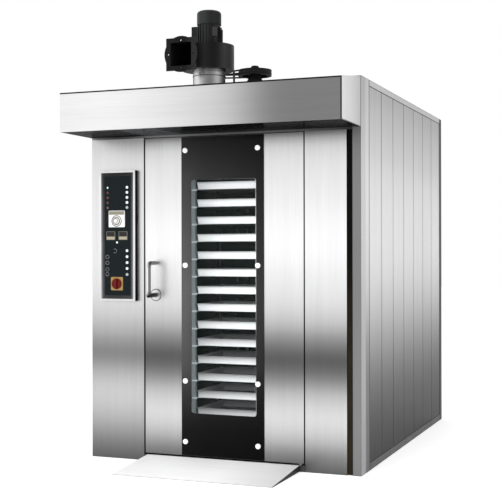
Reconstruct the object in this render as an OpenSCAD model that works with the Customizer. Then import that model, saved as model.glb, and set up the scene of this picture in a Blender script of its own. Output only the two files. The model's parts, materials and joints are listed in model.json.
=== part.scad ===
// Rotating rack oven for bread and pastry: an insulated steel cabinet with a glazed swing door, a rack of
// trays that turns on a shaft hung through the roof, a hood with an extraction blower over the door, a
// control box on the left column and an entry ramp.
// Millimetres, +Z up, +Y towards the back. The origin is on the floor under the rack's turning axis.
// Each sub-part is written in front coordinates, where Y = 0 is the front face of the columns, and is then
// moved so that the turning axis lies on the origin.

/* [Body] */
// Width over the side rails
body_w = 1640; // [1560:10:1900]
// Depth from the columns' front face to the back
body_d = 2150; // [2100:10:2600]
// Height of the roof above the floor
body_h = 2150; // [2100:5:2300]
// Distance from the columns' front face to the rack's turning axis
axis_depth = 550; // [540:5:640]
// Thickness of the steel sheets
sheet_t = 2; // [1.5:0.5:3]
// Depth of the folded wall panels
pan_depth = 25; // [20:1:35]
// Number of vertical panels on each side
side_panel_count = 7; // [5:1:9]
// Number of vertical panels on the back
rear_panel_count = 6; // [4:1:8]
// Number of sheets across the roof
roof_panel_count = 3; // [2:1:4]
// Gap between neighbouring panels
panel_seam = 3; // [2:0.5:5]
// Side width of the front corner posts
front_post_d = 170; // [150:5:260]
// Side width of the rear corner posts
rear_post_d = 70; // [50:5:120]
// Front width of the corner posts
post_w = 50; // [40:5:60]
// Height of the base rails
base_rail_h = 40; // [30:1:60]
// Height of the top rails
top_rail_h = 30; // [20:1:50]
// How far the rails stand out from the side panels
rail_proud = 2; // [1:0.5:4]

/* [Front] */
// Depth of the front wall and its columns
front_wall_t = 100; // [96:1:140]
// Width of the left column, which carries the controls
left_column_w = 345; // [320:5:400]
// Width of the right column
right_column_w = 239; // [200:1:300]
// Width of the dark gap between the right column and the corner post
recess_w = 31; // [10:1:40]
// Height of the header over the doorway
header_h = 287; // [280:1:300]
// Height of the insulated chamber floor
floor_h = 35; // [25:1:40]

/* [Door] */
// Thickness of the door
door_t = 90; // [85:1:93]
// Gap between the door and the columns
door_seam = 4; // [4:0.5:6]
// Clearance from the floor of the chamber to the door
door_lift = 10; // [8:1:20]
// Radius of the hinge pins
hinge_pin_r = 8; // [6:0.5:9]
// Distance from the door's edge to the hinge axis
hinge_inset = 25; // [22:1:30]
// Distance from the door's face to the hinge axis
hinge_depth = 12; // [11:0.5:13]
// Width of the outer glass
glass_w = 492; // [470:2:520]
// Thickness of the outer glass
glass_t = 6; // [4:1:8]
// Width of the clear window
window_w = 397; // [360:1:410]
// Height of the clear window
window_h = 1325; // [1200:5:1400]
// Height of the window's lower edge above the floor
window_bottom = 288; // [250:2:330]
// Corner radius of the window
window_corner_r = 15; // [5:1:25]
// Sideways offset of the glass from the middle of the door
glass_shift = -4; // [-20:1:20]
// Radius of the round caps that hold the glass
cap_r = 15; // [10:0.5:18]
// Heights of the four rows of caps as shares of the glass's height
cap_rows = [0.0433, 0.2338, 0.5972, 0.9583];

/* [Handle] */
// Distance from the door's left edge to the handle's spindle
spindle_inset = 72; // [60:1:90]
// Height of the spindle above the floor
spindle_z = 957; // [900:1:1100]
// Radius of the grip
grip_r = 12; // [9:0.5:15]
// Distance from the door to the middle of the grip
grip_reach = 95; // [80:1:120]
// Length of the grip from the spindle to its top arm
grip_h = 184; // [150:1:200]
// Radius of the spindle
spindle_r = 10; // [8:0.5:12]
// Radius of the rosette
rosette_r = 35; // [28:1:40]

/* [Rack] */
// Number of trays
tray_count = 15; // [8:1:15]
// Clearance above the rim of the highest tray
tray_headroom = 26; // [24:1:80]
// Height of the lowest tray above the floor
first_tray_z = 222; // [220:1:240]
// Tray width across its rim
tray_w = 600; // [560:5:620]
// Tray depth across its rim
tray_d = 400; // [360:5:420]
// Tray height
tray_h = 44; // [30:1:52]
// How far each tray wall leans out
tray_flare = 5; // [3:1:18]
// Thickness of the tray metal
tray_t = 1.5; // [1:0.5:2]
// Width of the square tubes of the rack
tube_w = 25; // [20:1:30]
// Gap between a tray's rim and the uprights
tray_gap = 12; // [8:1:16]
// Clearance from the rack's top to the chamber's ceiling
rack_headroom = 100; // [90:1:120]
// Radius of the caster wheels
wheel_r = 50; // [40:1:55]
// Thickness of the caster wheels
wheel_t = 30; // [24:1:36]
// Height of the hung wheels above the chamber floor
wheel_lift = 8; // [4:1:12]

/* [Drive] */
// Radius of the rack's drive shaft
shaft_r = 20; // [16:1:24]
// Radius of the large pulley
pulley_r = 102; // [90:1:120]
// Radius of the small pulley
pinion_r = 42; // [38:1:50]
// Distance between the two pulley axes
belt_run_l = 270; // [250:5:300]
// Height of the pulley rims
rim_h = 36; // [32:1:44]
// Height of the top of the pulleys above the roof
pulley_rise = 162; // [150:1:180]
// Width and thickness of the belts
belt_w = 9; // [7:0.5:11]
// Depth of the belt groove in the pulleys
belt_t = 8; // [6:0.5:10]

/* [Chamber] */
// Width of the baking chamber
chamber_w = 900; // [880:5:960]
// Height of the chamber's ceiling above the doorway
chamber_rise = 17; // [12:1:30]
// Thickness of the side insulation
insulation_t = 155; // [100:5:180]
// Depth of the heater compartment behind the chamber
heater_space = 600; // [560:10:700]
// Thickness of the insulation behind the heaters
rear_insulation_t = 120; // [80:5:150]
// Number of heater hairpins
hairpin_count = 8; // [4:1:12]

/* [Hood] */
// How far the hood stands out from the columns
hood_reach = 360; // [300:5:420]
// Distance from the body's roof down to the hood's underside
hood_fall = 275; // [255:1:278]
// Height of the hood's front face
hood_face_h = 220; // [180:5:240]
// Drop of the hood's roof at its back edge below the body's roof
hood_drop = 5; // [3:1:15]
// Number of intake slots in the hood's underside
hood_slots = 11; // [5:1:11]

/* [Blower] */
// Distance from the columns' front face to the blower's axis
blower_reach = 150; // [140:2:170]
// Radius of the duct collar
collar_r = 89; // [80:1:95]
// Width of the flange at the collar's foot
collar_lip = 36; // [30:1:44]
// Height of the blower casing's underside above the body's roof
casing_rise = 50; // [40:2:80]
// Height of the blower casing
casing_h = 136; // [120:2:150]
// Radius of the casing where the spiral starts
casing_r = 126; // [120:1:132]
// Growth of the spiral over its sweep
casing_growth = 20; // [12:1:26]
// Width of the outlet's inside
outlet_w = 122; // [110:1:126]
// Length from the blower's axis to the outlet flange
outlet_reach = 188; // [170:1:200]
// Width of the square outlet plate
outlet_plate_w = 176; // [170:1:190]
// Radius of the round outlet flange
outlet_flange_r = 97; // [94:1:104]
// Radius of the outlet flange's bolt circle
outlet_bolt_r = 74; // [73:0.5:80]
// Radius of the outlet flange's bolt holes
outlet_hole_r = 4; // [3:0.5:5]
// Radius of the blower wheel
wheel_blower_r = 100; // [80:1:105]
// Radius of the blower motor
motor_r = 62; // [55:1:70]
// Height of the blower motor without its cowl
motor_h = 114; // [100:1:130]
// Height of the motor's fan cowl
cowl_h = 76; // [60:1:90]

/* [Controls] */
// Width of the control box
box_w = 234; // [220:2:260]
// Height of the control box
box_h = 758; // [740:2:800]
// Distance from the top of the doorway down to the control box
box_drop = 185; // [150:5:225]
// How far the control box stands out from the column
box_proud = 30; // [26:1:40]
// Width of the box's bright outer frame
bezel_w = 12; // [8:1:16]
// Width of the bevel down to the black plate
bevel_w = 20; // [14:1:24]
// Depth of the bevel
bevel_d = 7; // [4:1:9]
// Radius of the push buttons
button_r = 9; // [7:0.5:10]
// How far the push buttons travel
button_travel = 3; // [2:0.5:3]
// Radius of the indicator lamps
lamp_r = 7; // [5:0.5:9]
// Height of the upper button row's top button above the plate's middle
upper_row_z = 281; // [276:1:286]
// Distance between the upper buttons
upper_pitch = 29.3; // [26:0.1:30]
// Height of the lower button row's top button, below the plate's middle
lower_row_z = -87; // [-90:1:-84]
// Distance between the lower buttons
lower_pitch = 34.5; // [30:0.1:35]
// Sideways distance of the buttons from the plate's middle
button_x = 66; // [60:1:70]
// Sideways distance of the lamps from the plate's middle
lamp_x = 61; // [55:1:68]
// Width of the timer module
timer_w = 104; // [92:1:110]
// Height of the timer module
timer_h = 96; // [80:1:100]
// Radius of the timer's knob
timer_knob_r = 22; // [16:1:26]
// Width of a display
display_w = 58; // [50:1:62]
// Height of a display
display_h = 50; // [40:1:54]
// Width of the main switch's plate
switch_w = 78; // [70:1:84]
// Radius of the main switch's knob
switch_knob_r = 28; // [22:1:32]

/* [Ramp] */
// How far each side of the ramp stands in from the doorway
ramp_inset = 25; // [18:1:80]
// Length of the ramp
ramp_d = 435; // [350:5:500]
// Thickness of the ramp's plate
ramp_t = 4; // [3:0.5:6]

/* [Hidden] */

$fn = 48;
eps = 0.01;
running_gap = 0.05;   // radial clearance of a shaft in its bearing
moving_gap = 0.3;     // gap between faces that move past each other
joint_gap = 0.3;      // gap between neighbouring pieces of one sub-part
half_w = body_w / 2;
panel_x = half_w - rail_proud;
roof_z = body_h - sheet_t;
doorway_h = body_h - header_h;

// doorway and door
door_left = -half_w + left_column_w + door_seam;
right_column_x = half_w - post_w - recess_w - right_column_w;
door_right = right_column_x - door_seam;
door_bottom = floor_h + door_lift;
door_top = doorway_h - door_seam;
hinge_x = door_right - hinge_inset;
glass_x = (door_left + door_right) / 2 + glass_shift;
window_x = glass_x + 7;
window_mid_z = window_bottom + window_h / 2;
tunnel_margin = 50;
pane_rest = 9;
glass_edge = 1.5;
glass_bottom = door_bottom + glass_edge;
glass_top = door_top - glass_edge;
cap_heights = [for (share = cap_rows) glass_bottom + share * (glass_top - glass_bottom)];
cap_x = glass_w / 2 - 25;
spindle_x = door_left + spindle_inset;
hub_r = 16;
rosette_t = 10;
latch_pocket_r = 45;
jamb_w = 25;
rail_wall = 3;
jamb_y = front_wall_t - 5;
gasket_w = 16;
hinge_clear = 5;      // how far the gasket reaches past the hinge axis

// chamber
half_chamber = chamber_w / 2;
chamber_h = doorway_h + chamber_rise;
duct_y = axis_depth + half_chamber;
heater_back_y = duct_y + heater_space;
bulkhead_y = heater_back_y + sheet_t + rear_insulation_t;
outer_liner_x = panel_x - pan_depth - insulation_t;
fan_z = 1000;
fan_r = 200;
fan_shaft_r = 15;
circ_motor_r = 110;
circ_motor_l = 260;

// rack
rack_half_w = tray_w / 2 + tray_gap + tube_w;
rack_top_z = chamber_h - rack_headroom;
tray_pitch = (rack_top_z - tube_w - tray_headroom - tray_h - first_tray_z) / max(tray_count - 1, 1);
rack_half_d = tray_d / 2;
rack_base_z = floor_h + wheel_lift + 2 * wheel_r + 12;
runner_w = 32;
runner_h = 16;
runner_t = 2;
runner_lip_h = 8;
runner_lip_in = 13;
wheel_z = floor_h + wheel_lift + wheel_r;
wheel_x = rack_half_w - tube_w / 2;
wheel_y = rack_half_d - 60;
axle_r = 5;
fork_t = 3;
fork_w = 44;
fork_l = 50;
caster_trail = 28;
swivel_pin_r = 8;
swivel_pin_h = 20;
yoke_w = 260;
yoke_t = 20;
yoke_z = rack_top_z + 40;

// rack drive
pulley_top_z = body_h + pulley_rise;
pulley_z = pulley_top_z - rim_h;
belt_pitch = rim_h / 2;
bearing_r = 60;
bearing_h = 34;
pinion_shaft_r = 12;
gearbox_w = 150;
gearbox_h = 95;

// hood and blower
hood_z = body_h - hood_fall;
hood_top_z = hood_z + hood_face_h;
hood_back_z = body_h - hood_drop;
casing_z = body_h + casing_rise;
spiral_start = -98;
spiral_end = 180;
casing_wall = 3;
outlet_x = -(casing_r + casing_growth) + outlet_w / 2;
outlet_z = casing_z + casing_h / 2;
outlet_h = casing_h - 2 * casing_wall - 5;
blower_shaft_r = 8;
motor_z = casing_z + casing_h;
motor_foot_h = 8;

// controls
box_x = -half_w + left_column_w / 2 + 9.5;
box_mid_z = doorway_h - box_drop - box_h / 2;
face_x = box_x - 4;
plate_y = -box_proud + bevel_d;
plate_t = 3;
plate_w = box_w - 2 * (bezel_w + bevel_w);
plate_h = box_h - 2 * (bezel_w + bevel_w);
timer_z = box_mid_z + 98;
display_z = box_mid_z + 0.5;
display_x = 40;
middle_lamp_z = box_mid_z - 39;
switch_z = box_mid_z - 279;
stem_r = 5;

module block(xs, ys, zs) {
    translate([xs[0], ys[0], zs[0]])
        cube([xs[1] - xs[0], ys[1] - ys[0], zs[1] - zs[0]]);
}

module both_sides() {
    children();
    mirror([1, 0, 0])
        children();
}

// Moves a sub-part from front coordinates to the part's own frame.
module from_front() {
    translate([0, -axis_depth, 0])
        children();
}

// Cylinder along +Y that starts at y and is l long.
module rod_y(x, y, z, r, l) {
    translate([x, y, z])
        rotate([-90, 0, 0])
            cylinder(r = r, h = l);
}

// Block with a true round-cornered outline in the XZ plane, from y0 to y1.
module round_slab(x, z, w, h, r, y0, y1) {
    translate([x, y1, z])
        rotate([90, 0, 0])
            linear_extrude(y1 - y0) {
                square([w - 2 * r, h], center = true);
                square([w, h - 2 * r], center = true);
                for (sx = [-1, 1])
                    for (sz = [-1, 1])
                        translate([sx * (w / 2 - r), sz * (h / 2 - r)])
                            circle(r = r);
            }
}

// Four-sided tapering block: w0 x d0 at the bottom, w1 x d1 at the height h.
module taper(w0, d0, w1, d1, h) {
    intersection() {
        translate([0, max(d0, d1), 0])
            rotate([90, 0, 0])
                linear_extrude(2 * max(d0, d1))
                    polygon([[-w0 / 2, 0], [w0 / 2, 0], [w1 / 2, h], [-w1 / 2, h]]);
        translate([-max(w0, w1), 0, 0])
            rotate([90, 0, 90])
                linear_extrude(2 * max(w0, w1))
                    polygon([[-d0 / 2, 0], [d0 / 2, 0], [d1 / 2, h], [-d1 / 2, h]]);
    }
}

// Pan folded from one sheet; open_face names the side that is left open.
module pan(xs, ys, zs, open_face) {
    t = sheet_t;
    difference() {
        block(xs, ys, zs);
        if (open_face == "right")
            block([xs[0] + t, xs[1] + eps], [ys[0] + t, ys[1] - t], [zs[0] + t, zs[1] - t]);
        if (open_face == "front")
            block([xs[0] + t, xs[1] - t], [ys[0] - eps, ys[1] - t], [zs[0] + t, zs[1] - t]);
        if (open_face == "back")
            block([xs[0] + t, xs[1] - t], [ys[0] + t, ys[1] + eps], [zs[0] + t, zs[1] - t]);
    }
}

// ---- cabinet ----

module base_frame() color("dimgray") from_front() {
    t = rail_wall;
    rear_x = half_w - post_w - joint_gap;
    rear_y = body_d - rear_post_d;
    // side rails and the rear rail, each an open-ended tube
    both_sides()
        difference() {
            block([half_w - post_w, half_w], [front_post_d, rear_y], [0, base_rail_h]);
            block([half_w - post_w + t, half_w - t], [front_post_d - 1, rear_y + 1], [t, base_rail_h - t]);
        }
    difference() {
        block([-rear_x, rear_x], [rear_y, body_d], [0, base_rail_h]);
        block([-rear_x - 1, rear_x + 1], [rear_y + t, body_d - t], [t, base_rail_h - t]);
    }
}

// The three plates of the floor: under the door, between the front corners and under the chamber.
FLOOR_PLATES = [
    [[door_left - door_seam, right_column_x], [0, jamb_y + sheet_t]],
    [[-half_chamber, half_chamber], [jamb_y + sheet_t + joint_gap, front_post_d - joint_gap]],
    [[-half_w + post_w + joint_gap, half_w - post_w - joint_gap], [front_post_d, bulkhead_y]]];

module chamber_floor() color("silver") from_front() {
    for (plate = FLOOR_PLATES)
        difference() {
            block(plate[0], plate[1], [0, floor_h]);
            floor_filling(plate, -1);
        }
}

// Insulation under a floor plate, from z0 up to the plate's sheet.
module floor_filling(plate, z0) {
    t = sheet_t;
    block([plate[0][0] + t, plate[0][1] - t], [plate[1][0] + t, plate[1][1] - t], [z0, floor_h - t]);
}

module chamber_liner() color("gainsboro") from_front() {
    t = sheet_t;
    g = joint_gap;
    jamb_top = doorway_h - jamb_w;
    // strips around the doorway, which the gasket closes against
    block([door_left - door_seam, -half_chamber - g], [jamb_y, jamb_y + t], [floor_h, doorway_h]);
    block([half_chamber + g, right_column_x], [jamb_y, jamb_y + t], [floor_h, doorway_h]);
    block([-half_chamber, half_chamber], [jamb_y, jamb_y + t], [jamb_top, doorway_h]);
    // chamber side walls with a column of air slots
    slot_count = 14;
    slot_w = 30;
    slot_pitch = (chamber_h - floor_h) / slot_count;
    both_sides()
        difference() {
            block([half_chamber, half_chamber + t], [jamb_y + t + g, duct_y - g], [floor_h, chamber_h - g]);
            // notch for the header's sheet
            block([half_chamber - 1, half_chamber + t + 1], [jamb_y, front_wall_t + g],
                [doorway_h - g, chamber_h]);
            for (i = [0:slot_count - 1])
                block([half_chamber - 1, half_chamber + t + 1],
                    [axis_depth - slot_w / 2, axis_depth + slot_w / 2],
                    [floor_h + (i + 0.25) * slot_pitch, floor_h + (i + 0.75) * slot_pitch]);
        }
    // outer walls of the side air ducts and of the heater compartment
    both_sides()
        block([outer_liner_x - t, outer_liner_x], [front_post_d, heater_back_y - g],
            [floor_h, chamber_h - g]);
    // ceiling
    difference() {
        block([-outer_liner_x, outer_liner_x], [front_wall_t, heater_back_y + t], [chamber_h, chamber_h + t]);
        translate([0, axis_depth, chamber_h - 1])
            cylinder(r = shaft_r + 5, h = t + 2);
    }
    // back of the heater compartment and the bulkhead behind the insulation
    for (y = [heater_back_y, bulkhead_y])
        difference() {
            block([-outer_liner_x, outer_liner_x], [y, y + t], [floor_h, chamber_h - g]);
            rod_y(0, y - 1, fan_z, fan_shaft_r + 5, t + 2);
        }
}

module air_duct_wall() color("lightgray") from_front() {
    row_count = 12;
    row_pitch = (chamber_h - floor_h) / row_count;
    difference() {
        block([-half_chamber - sheet_t, half_chamber + sheet_t], [duct_y, duct_y + sheet_t],
            [floor_h, chamber_h]);
        for (sx = [-1, 1])
            for (i = [0:row_count - 1])
                translate([sx * half_chamber * 0.55 - 60, duct_y - 1, floor_h + (i + 0.3) * row_pitch])
                    cube([120, sheet_t + 2, row_pitch * 0.3]);
    }
}

module insulation() color("khaki") from_front() {
    t = sheet_t;
    g = joint_gap;
    wall_top = chamber_h + t;
    side_x = panel_x - pan_depth;
    // side walls, and the front corners beside the chamber
    both_sides() {
        block([outer_liner_x, side_x], [front_post_d, bulkhead_y], [base_rail_h, wall_top]);
        block([half_chamber + t, half_w - post_w], [front_wall_t, front_post_d - g],
            [base_rail_h, chamber_h - g]);
    }
    // ceiling
    difference() {
        block([-side_x, side_x], [front_post_d, bulkhead_y], [wall_top + g, roof_z]);
        translate([0, axis_depth, wall_top])
            cylinder(r = shaft_r + 10, h = roof_z);
    }
    // back wall
    difference() {
        block([-outer_liner_x + g, outer_liner_x - g], [heater_back_y + t, bulkhead_y],
            [base_rail_h, wall_top - g]);
        rod_y(0, heater_back_y, fan_z, fan_shaft_r + 5, rear_insulation_t + 10);
    }
    // filling of the floor
    for (plate = FLOOR_PLATES)
        floor_filling(plate, 0);
    // filling of the columns and of the header
    block([-half_w + t, door_left - door_seam - t], [t, front_wall_t - g], [t, doorway_h - t]);
    block([right_column_x + t, right_column_x + right_column_w - t], [t, front_wall_t - g],
        [t, doorway_h - t]);
    block([-half_w + t, half_w - post_w - t], [t, front_wall_t - g], [doorway_h + t, roof_z - t]);
}

module wall_panels() color("silver") from_front() {
    side_pitch = (body_d - front_post_d - rear_post_d) / side_panel_count;
    rear_pitch = 2 * (half_w - post_w) / rear_panel_count;
    gland_r = 16;
    both_sides()
        for (i = [0:side_panel_count - 1])
            pan([-panel_x, -panel_x + pan_depth],
                [front_post_d + i * side_pitch + panel_seam / 2,
                    front_post_d + (i + 1) * side_pitch - panel_seam / 2],
                [base_rail_h, roof_z - top_rail_h], "right");
    for (i = [0:rear_panel_count - 1]) {
        x0 = -half_w + post_w + i * rear_pitch;
        difference() {
            pan([x0 + panel_seam / 2, x0 + rear_pitch - panel_seam / 2],
                [body_d - rail_proud - pan_depth, body_d - rail_proud],
                [base_rail_h, roof_z - top_rail_h], "front");
            if (i == 0)
                rod_y(x0 + rear_pitch / 2, body_d - 60, 300, gland_r + 8, 100);
        }
        // cable entry ferrule
        if (i == 0)
            difference() {
                rod_y(x0 + rear_pitch / 2, body_d - 32, 300, gland_r + 8, 32);
                rod_y(x0 + rear_pitch / 2, body_d - 33, 300, gland_r, 34);
            }
    }
}

module roof_panels() color("silver") from_front() {
    pitch = body_d / roof_panel_count;
    difference() {
        for (i = [0:roof_panel_count - 1])
            block([-half_w, half_w], [i * pitch, (i + 1) * pitch - panel_seam], [roof_z, body_h]);
        translate([0, axis_depth, roof_z - 1])
            cylinder(r = shaft_r + 10, h = sheet_t + 2);
    }
}

module front_columns() color("gainsboro") from_front() {
    pan([-half_w, door_left - door_seam], [0, front_wall_t], [0, doorway_h], "back");
    pan([right_column_x, right_column_x + right_column_w], [0, front_wall_t], [0, doorway_h], "back");
}

// Hollow post, closed all round and open at both ends.
module post(xs, ys, z1) {
    t = sheet_t;
    difference() {
        block(xs, ys, [0, z1]);
        block([xs[0] + t, xs[1] - t], [ys[0] + t, ys[1] - t], [-1, z1 + 1]);
    }
}

module corner_posts() color("whitesmoke") from_front() {
    post([half_w - post_w, half_w], [0, front_post_d], roof_z);
    post([-half_w, -half_w + post_w], [front_wall_t, front_post_d], roof_z);
    both_sides()
        post([half_w - post_w, half_w], [body_d - rear_post_d, body_d], roof_z);
    // rails along the top of the sides and of the back
    g = joint_gap;
    both_sides()
        block([panel_x - pan_depth + g, half_w], [front_post_d + g, body_d - rear_post_d - g],
            [roof_z - top_rail_h, roof_z]);
    block([-half_w + post_w + g, half_w - post_w - g], [body_d - pan_depth - rail_proud, body_d],
        [roof_z - top_rail_h, roof_z]);
}

module front_header() color("gainsboro") from_front() {
    pan([-half_w, half_w - post_w], [0, front_wall_t], [doorway_h, roof_z], "back");
}

module door_hinge_pins() color("dimgray") from_front() {
    translate([hinge_x, hinge_depth, 0]) {
        translate([0, 0, doorway_h - 30])
            cylinder(r = hinge_pin_r, h = 30);
        translate([0, 0, floor_h])
            cylinder(r = hinge_pin_r, h = door_lift + 30);
        // thrust collar under the door
        translate([0, 0, floor_h])
            cylinder(r = hinge_pin_r + 3, h = door_lift - moving_gap);
    }
}

// ---- hood and blower ----

// slab that follows the slope of the hood's roof, from z0 to z1 above the roof's outer face
module roof_slab(x0, x1, z0, z1) {
    translate([x0, 0, 0])
        rotate([90, 0, 90])
            linear_extrude(x1 - x0)
                polygon([[-hood_reach, hood_top_z + z0], [0, hood_back_z + z0], [0, hood_back_z + z1],
                    [-hood_reach, hood_top_z + z1]]);
}

module hood_shell() color("gainsboro") from_front() {
    t = sheet_t;
    g = joint_gap;
    slope = (hood_back_z - hood_top_z) / hood_reach;
    // front face, sides and sloping roof sheet
    block([-half_w, half_w], [-hood_reach, -hood_reach + t], [hood_z, hood_top_z - t - g]);
    both_sides()
        translate([half_w - t, 0, 0])
            rotate([90, 0, 90])
                linear_extrude(t)
                    polygon([[-hood_reach + t + g, hood_z], [0, hood_z], [0, hood_back_z - t - g],
                        [-hood_reach + t + g, hood_top_z - t - g + (t + g) * slope]]);
    difference() {
        roof_slab(-half_w, half_w, -t, 0);
        translate([0, -blower_reach, hood_z])
            cylinder(r = collar_r + collar_lip / 2, h = hood_fall);
    }
}

module hood_underside() color("dimgray") from_front() {
    t = sheet_t;
    slot_w = 12;
    slot_bridge = 28;
    slot_margin = 60;
    slot_pitch = (body_w - 2 * slot_margin) / hood_slots;
    slot_l = slot_pitch - slot_bridge;
    difference() {
        block([-half_w + t + eps, half_w - t - eps], [-hood_reach + t + eps, 0], [hood_z, hood_z + t]);
        for (i = [0:hood_slots - 1])
            for (y = [-hood_reach * 0.62, -hood_reach * 0.42])
                block([-half_w + slot_margin + (i + 0.5) * slot_pitch - slot_l / 2,
                    -half_w + slot_margin + (i + 0.5) * slot_pitch + slot_l / 2], [y, y + slot_w],
                    [hood_z - 1, hood_z + t + 1]);
    }
}

module duct_collar() color("lightgray") from_front() {
    t = sheet_t;
    low_z = hood_top_z + 8;
    top_z = casing_z;
    bead_r = 2.5;
    lip_r = collar_r + collar_lip;
    // flange on the hood's roof
    difference() {
        intersection() {
            roof_slab(-lip_r, lip_r, 0, t);
            translate([0, -blower_reach, hood_z])
                cylinder(r = lip_r, h = hood_fall);
        }
        translate([0, -blower_reach, hood_z])
            cylinder(r = collar_r + joint_gap, h = hood_fall);
    }
    // collar with two beads
    translate([0, -blower_reach, 0])
        rotate_extrude($fn = 72) {
            translate([collar_r - t, low_z])
                square([t, top_z - low_z]);
            for (z = [top_z - 34, top_z - 12])
                translate([collar_r, z])
                    intersection() {
                        circle(r = bead_r);
                        translate([-0.5, -bead_r])
                            square([bead_r + 1, 2 * bead_r]);
                    }
        }
}

// Radius of the casing's spiral at an angle between its start and its end.
function spiral_r(a) = casing_r + casing_growth * (a - spiral_start) / (spiral_end - spiral_start);

module scroll_outline(grow, reach) {
    steps = 36;
    out = [for (i = [0:steps])
        let (a = spiral_start + (spiral_end - spiral_start) * i / steps)
            (spiral_r(a) + grow) * [cos(a), sin(a)]];
    polygon(concat(out, [[-(casing_r + casing_growth + grow), -reach],
        [-(casing_r + casing_growth) + outlet_w + grow, -reach]]));
}

module blower_casing() color("#1b1b1b") from_front() {
    wall = casing_wall;
    translate([0, -blower_reach, 0]) {
        difference() {
            translate([0, 0, casing_z])
                linear_extrude(casing_h)
                    scroll_outline(wall, outlet_reach - 6);
            translate([0, 0, casing_z + wall])
                linear_extrude(casing_h - 2 * wall)
                    scroll_outline(0, outlet_reach);
            translate([0, 0, casing_z - 1])
                cylinder(r = collar_r - 5, h = wall + 2);
            translate([0, 0, casing_z])
                cylinder(r = blower_shaft_r + 6, h = casing_h + 1);
        }
        // square plate and round flange of the outlet
        difference() {
            union() {
                block([outlet_x - outlet_plate_w / 2, outlet_x + outlet_plate_w / 2],
                    [-outlet_reach + 3, -outlet_reach + 6],
                    [outlet_z - outlet_plate_w / 2, outlet_z + outlet_plate_w / 2]);
                rod_y(outlet_x, -outlet_reach, outlet_z, outlet_flange_r, 3);
            }
            block([outlet_x - outlet_w / 2, outlet_x + outlet_w / 2], [-outlet_reach - 1, -outlet_reach + 7],
                [outlet_z - outlet_h / 2, outlet_z + outlet_h / 2]);
            for (a = [0:90:270])
                rod_y(outlet_x + outlet_bolt_r * cos(a), -outlet_reach - 1,
                    outlet_z + outlet_bolt_r * sin(a), outlet_hole_r, 8);
        }
    }
}

module blower_motor() color("#161616") from_front() {
    body_z = motor_z + motor_foot_h;
    cowl_z = motor_z + motor_h;
    bore_h = 40;
    translate([0, -blower_reach, 0]) {
        difference() {
            union() {
                translate([0, 0, motor_z])
                    cylinder(r = motor_r + 13, h = motor_foot_h);
                translate([0, 0, body_z])
                    cylinder(r = motor_r, h = motor_h - motor_foot_h);
                // terminal box and capacitor housing
                block([-motor_r - 30, -motor_r + 12], [-32, 32], [body_z, body_z + 98]);
                block([motor_r - 12, motor_r + 8], [-14, 14], [body_z, body_z + 90]);
                translate([motor_r + 8, 0, body_z])
                    cylinder(r = 11, h = 76);
            }
            translate([0, 0, motor_z - 1])
                cylinder(r = blower_shaft_r + running_gap, h = bore_h + 1);
        }
        // fan cowl with a rounded shoulder
        translate([0, 0, cowl_z])
            rotate_extrude($fn = 72) {
                square([motor_r + 5, cowl_h - 18]);
                square([motor_r - 13, cowl_h]);
                translate([motor_r - 13, cowl_h - 18])
                    circle(r = 18);
            }
        // foot screws
        for (a = [45:90:315])
            translate([(motor_r + 7) * cos(a), (motor_r + 7) * sin(a), body_z])
                cylinder(r = 3.5, h = 4);
    }
}

module blower_wheel() color("dimgray") from_front() {
    blade_count = 24;
    inlet_gap = 14;
    low_z = casing_z + inlet_gap;
    high_z = casing_z + casing_h - inlet_gap;
    blade_d = 16;
    translate([0, -blower_reach, 0]) {
        translate([0, 0, high_z - 3])
            cylinder(r = wheel_blower_r, h = 3);
        difference() {
            translate([0, 0, low_z])
                cylinder(r = wheel_blower_r, h = 3);
            translate([0, 0, low_z - 1])
                cylinder(r = wheel_blower_r - blade_d, h = 5);
        }
        for (i = [0:blade_count - 1])
            rotate([0, 0, i * 360 / blade_count])
                translate([wheel_blower_r - blade_d, 0, low_z + 1])
                    rotate([0, 0, 20])
                        cube([blade_d - 3, 2, high_z - low_z - 2]);
        translate([0, 0, high_z - 30])
            cylinder(r = 18, h = 30);
        translate([0, 0, high_z - 10])
            cylinder(r = blower_shaft_r, h = motor_z + 38 - high_z + 10);
    }
}

// ---- rack drive on the roof ----

module shaft_bearings() color("dimgray") from_front() {
    for (z = [body_h, chamber_h - bearing_h])
        translate([0, axis_depth, z])
            difference() {
                union() {
                    translate([0, 0, z == body_h ? 0 : bearing_h - 10])
                        cylinder(r = bearing_r, h = 10);
                    cylinder(r = bearing_r * 0.65, h = bearing_h);
                }
                translate([0, 0, -1])
                    cylinder(r = shaft_r + running_gap, h = bearing_h + 2);
            }
}

module drive_shaft() color("gray") from_front() {
    shaft_top = pulley_top_z + 26;
    translate([0, axis_depth, 0]) {
        translate([0, 0, yoke_z])
            cylinder(r = shaft_r, h = shaft_top - yoke_z);
        // collar that hangs on the upper bearing
        translate([0, 0, body_h + bearing_h + moving_gap])
            cylinder(r = shaft_r + 12, h = 16);
        // yoke with a foot at each end on the rack's cross rails
        block([-yoke_w / 2, yoke_w / 2], [-20, 20], [yoke_z - yoke_t, yoke_z]);
        for (sx = [-1, 1])
            translate([sx * (yoke_w / 2 - 10), 0, 0])
                block([-10, 10], [-20, 20], [rack_top_z, yoke_z - yoke_t]);
    }
}

// Pulley with two belt grooves, a web and a hub.
module pulley(r, hub, bore, z) {
    depth = belt_t + 1;
    web_t = 8;
    rim_t = min(22, r - hub);
    translate([0, 0, z])
        rotate_extrude($fn = 72)
            difference() {
                union() {
                    translate([r - rim_t, 0])
                        square([rim_t, rim_h]);
                    translate([bore, (rim_h - web_t) / 2])
                        square([r - bore, web_t]);
                    translate([bore, -6])
                        square([hub - bore, rim_h + 12]);
                }
                for (i = [0, 1])
                    translate([r - depth, (i + 0.5) * belt_pitch - belt_w / 2 - moving_gap])
                        square([depth + 1, belt_w + 2 * moving_gap]);
            }
}

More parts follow.
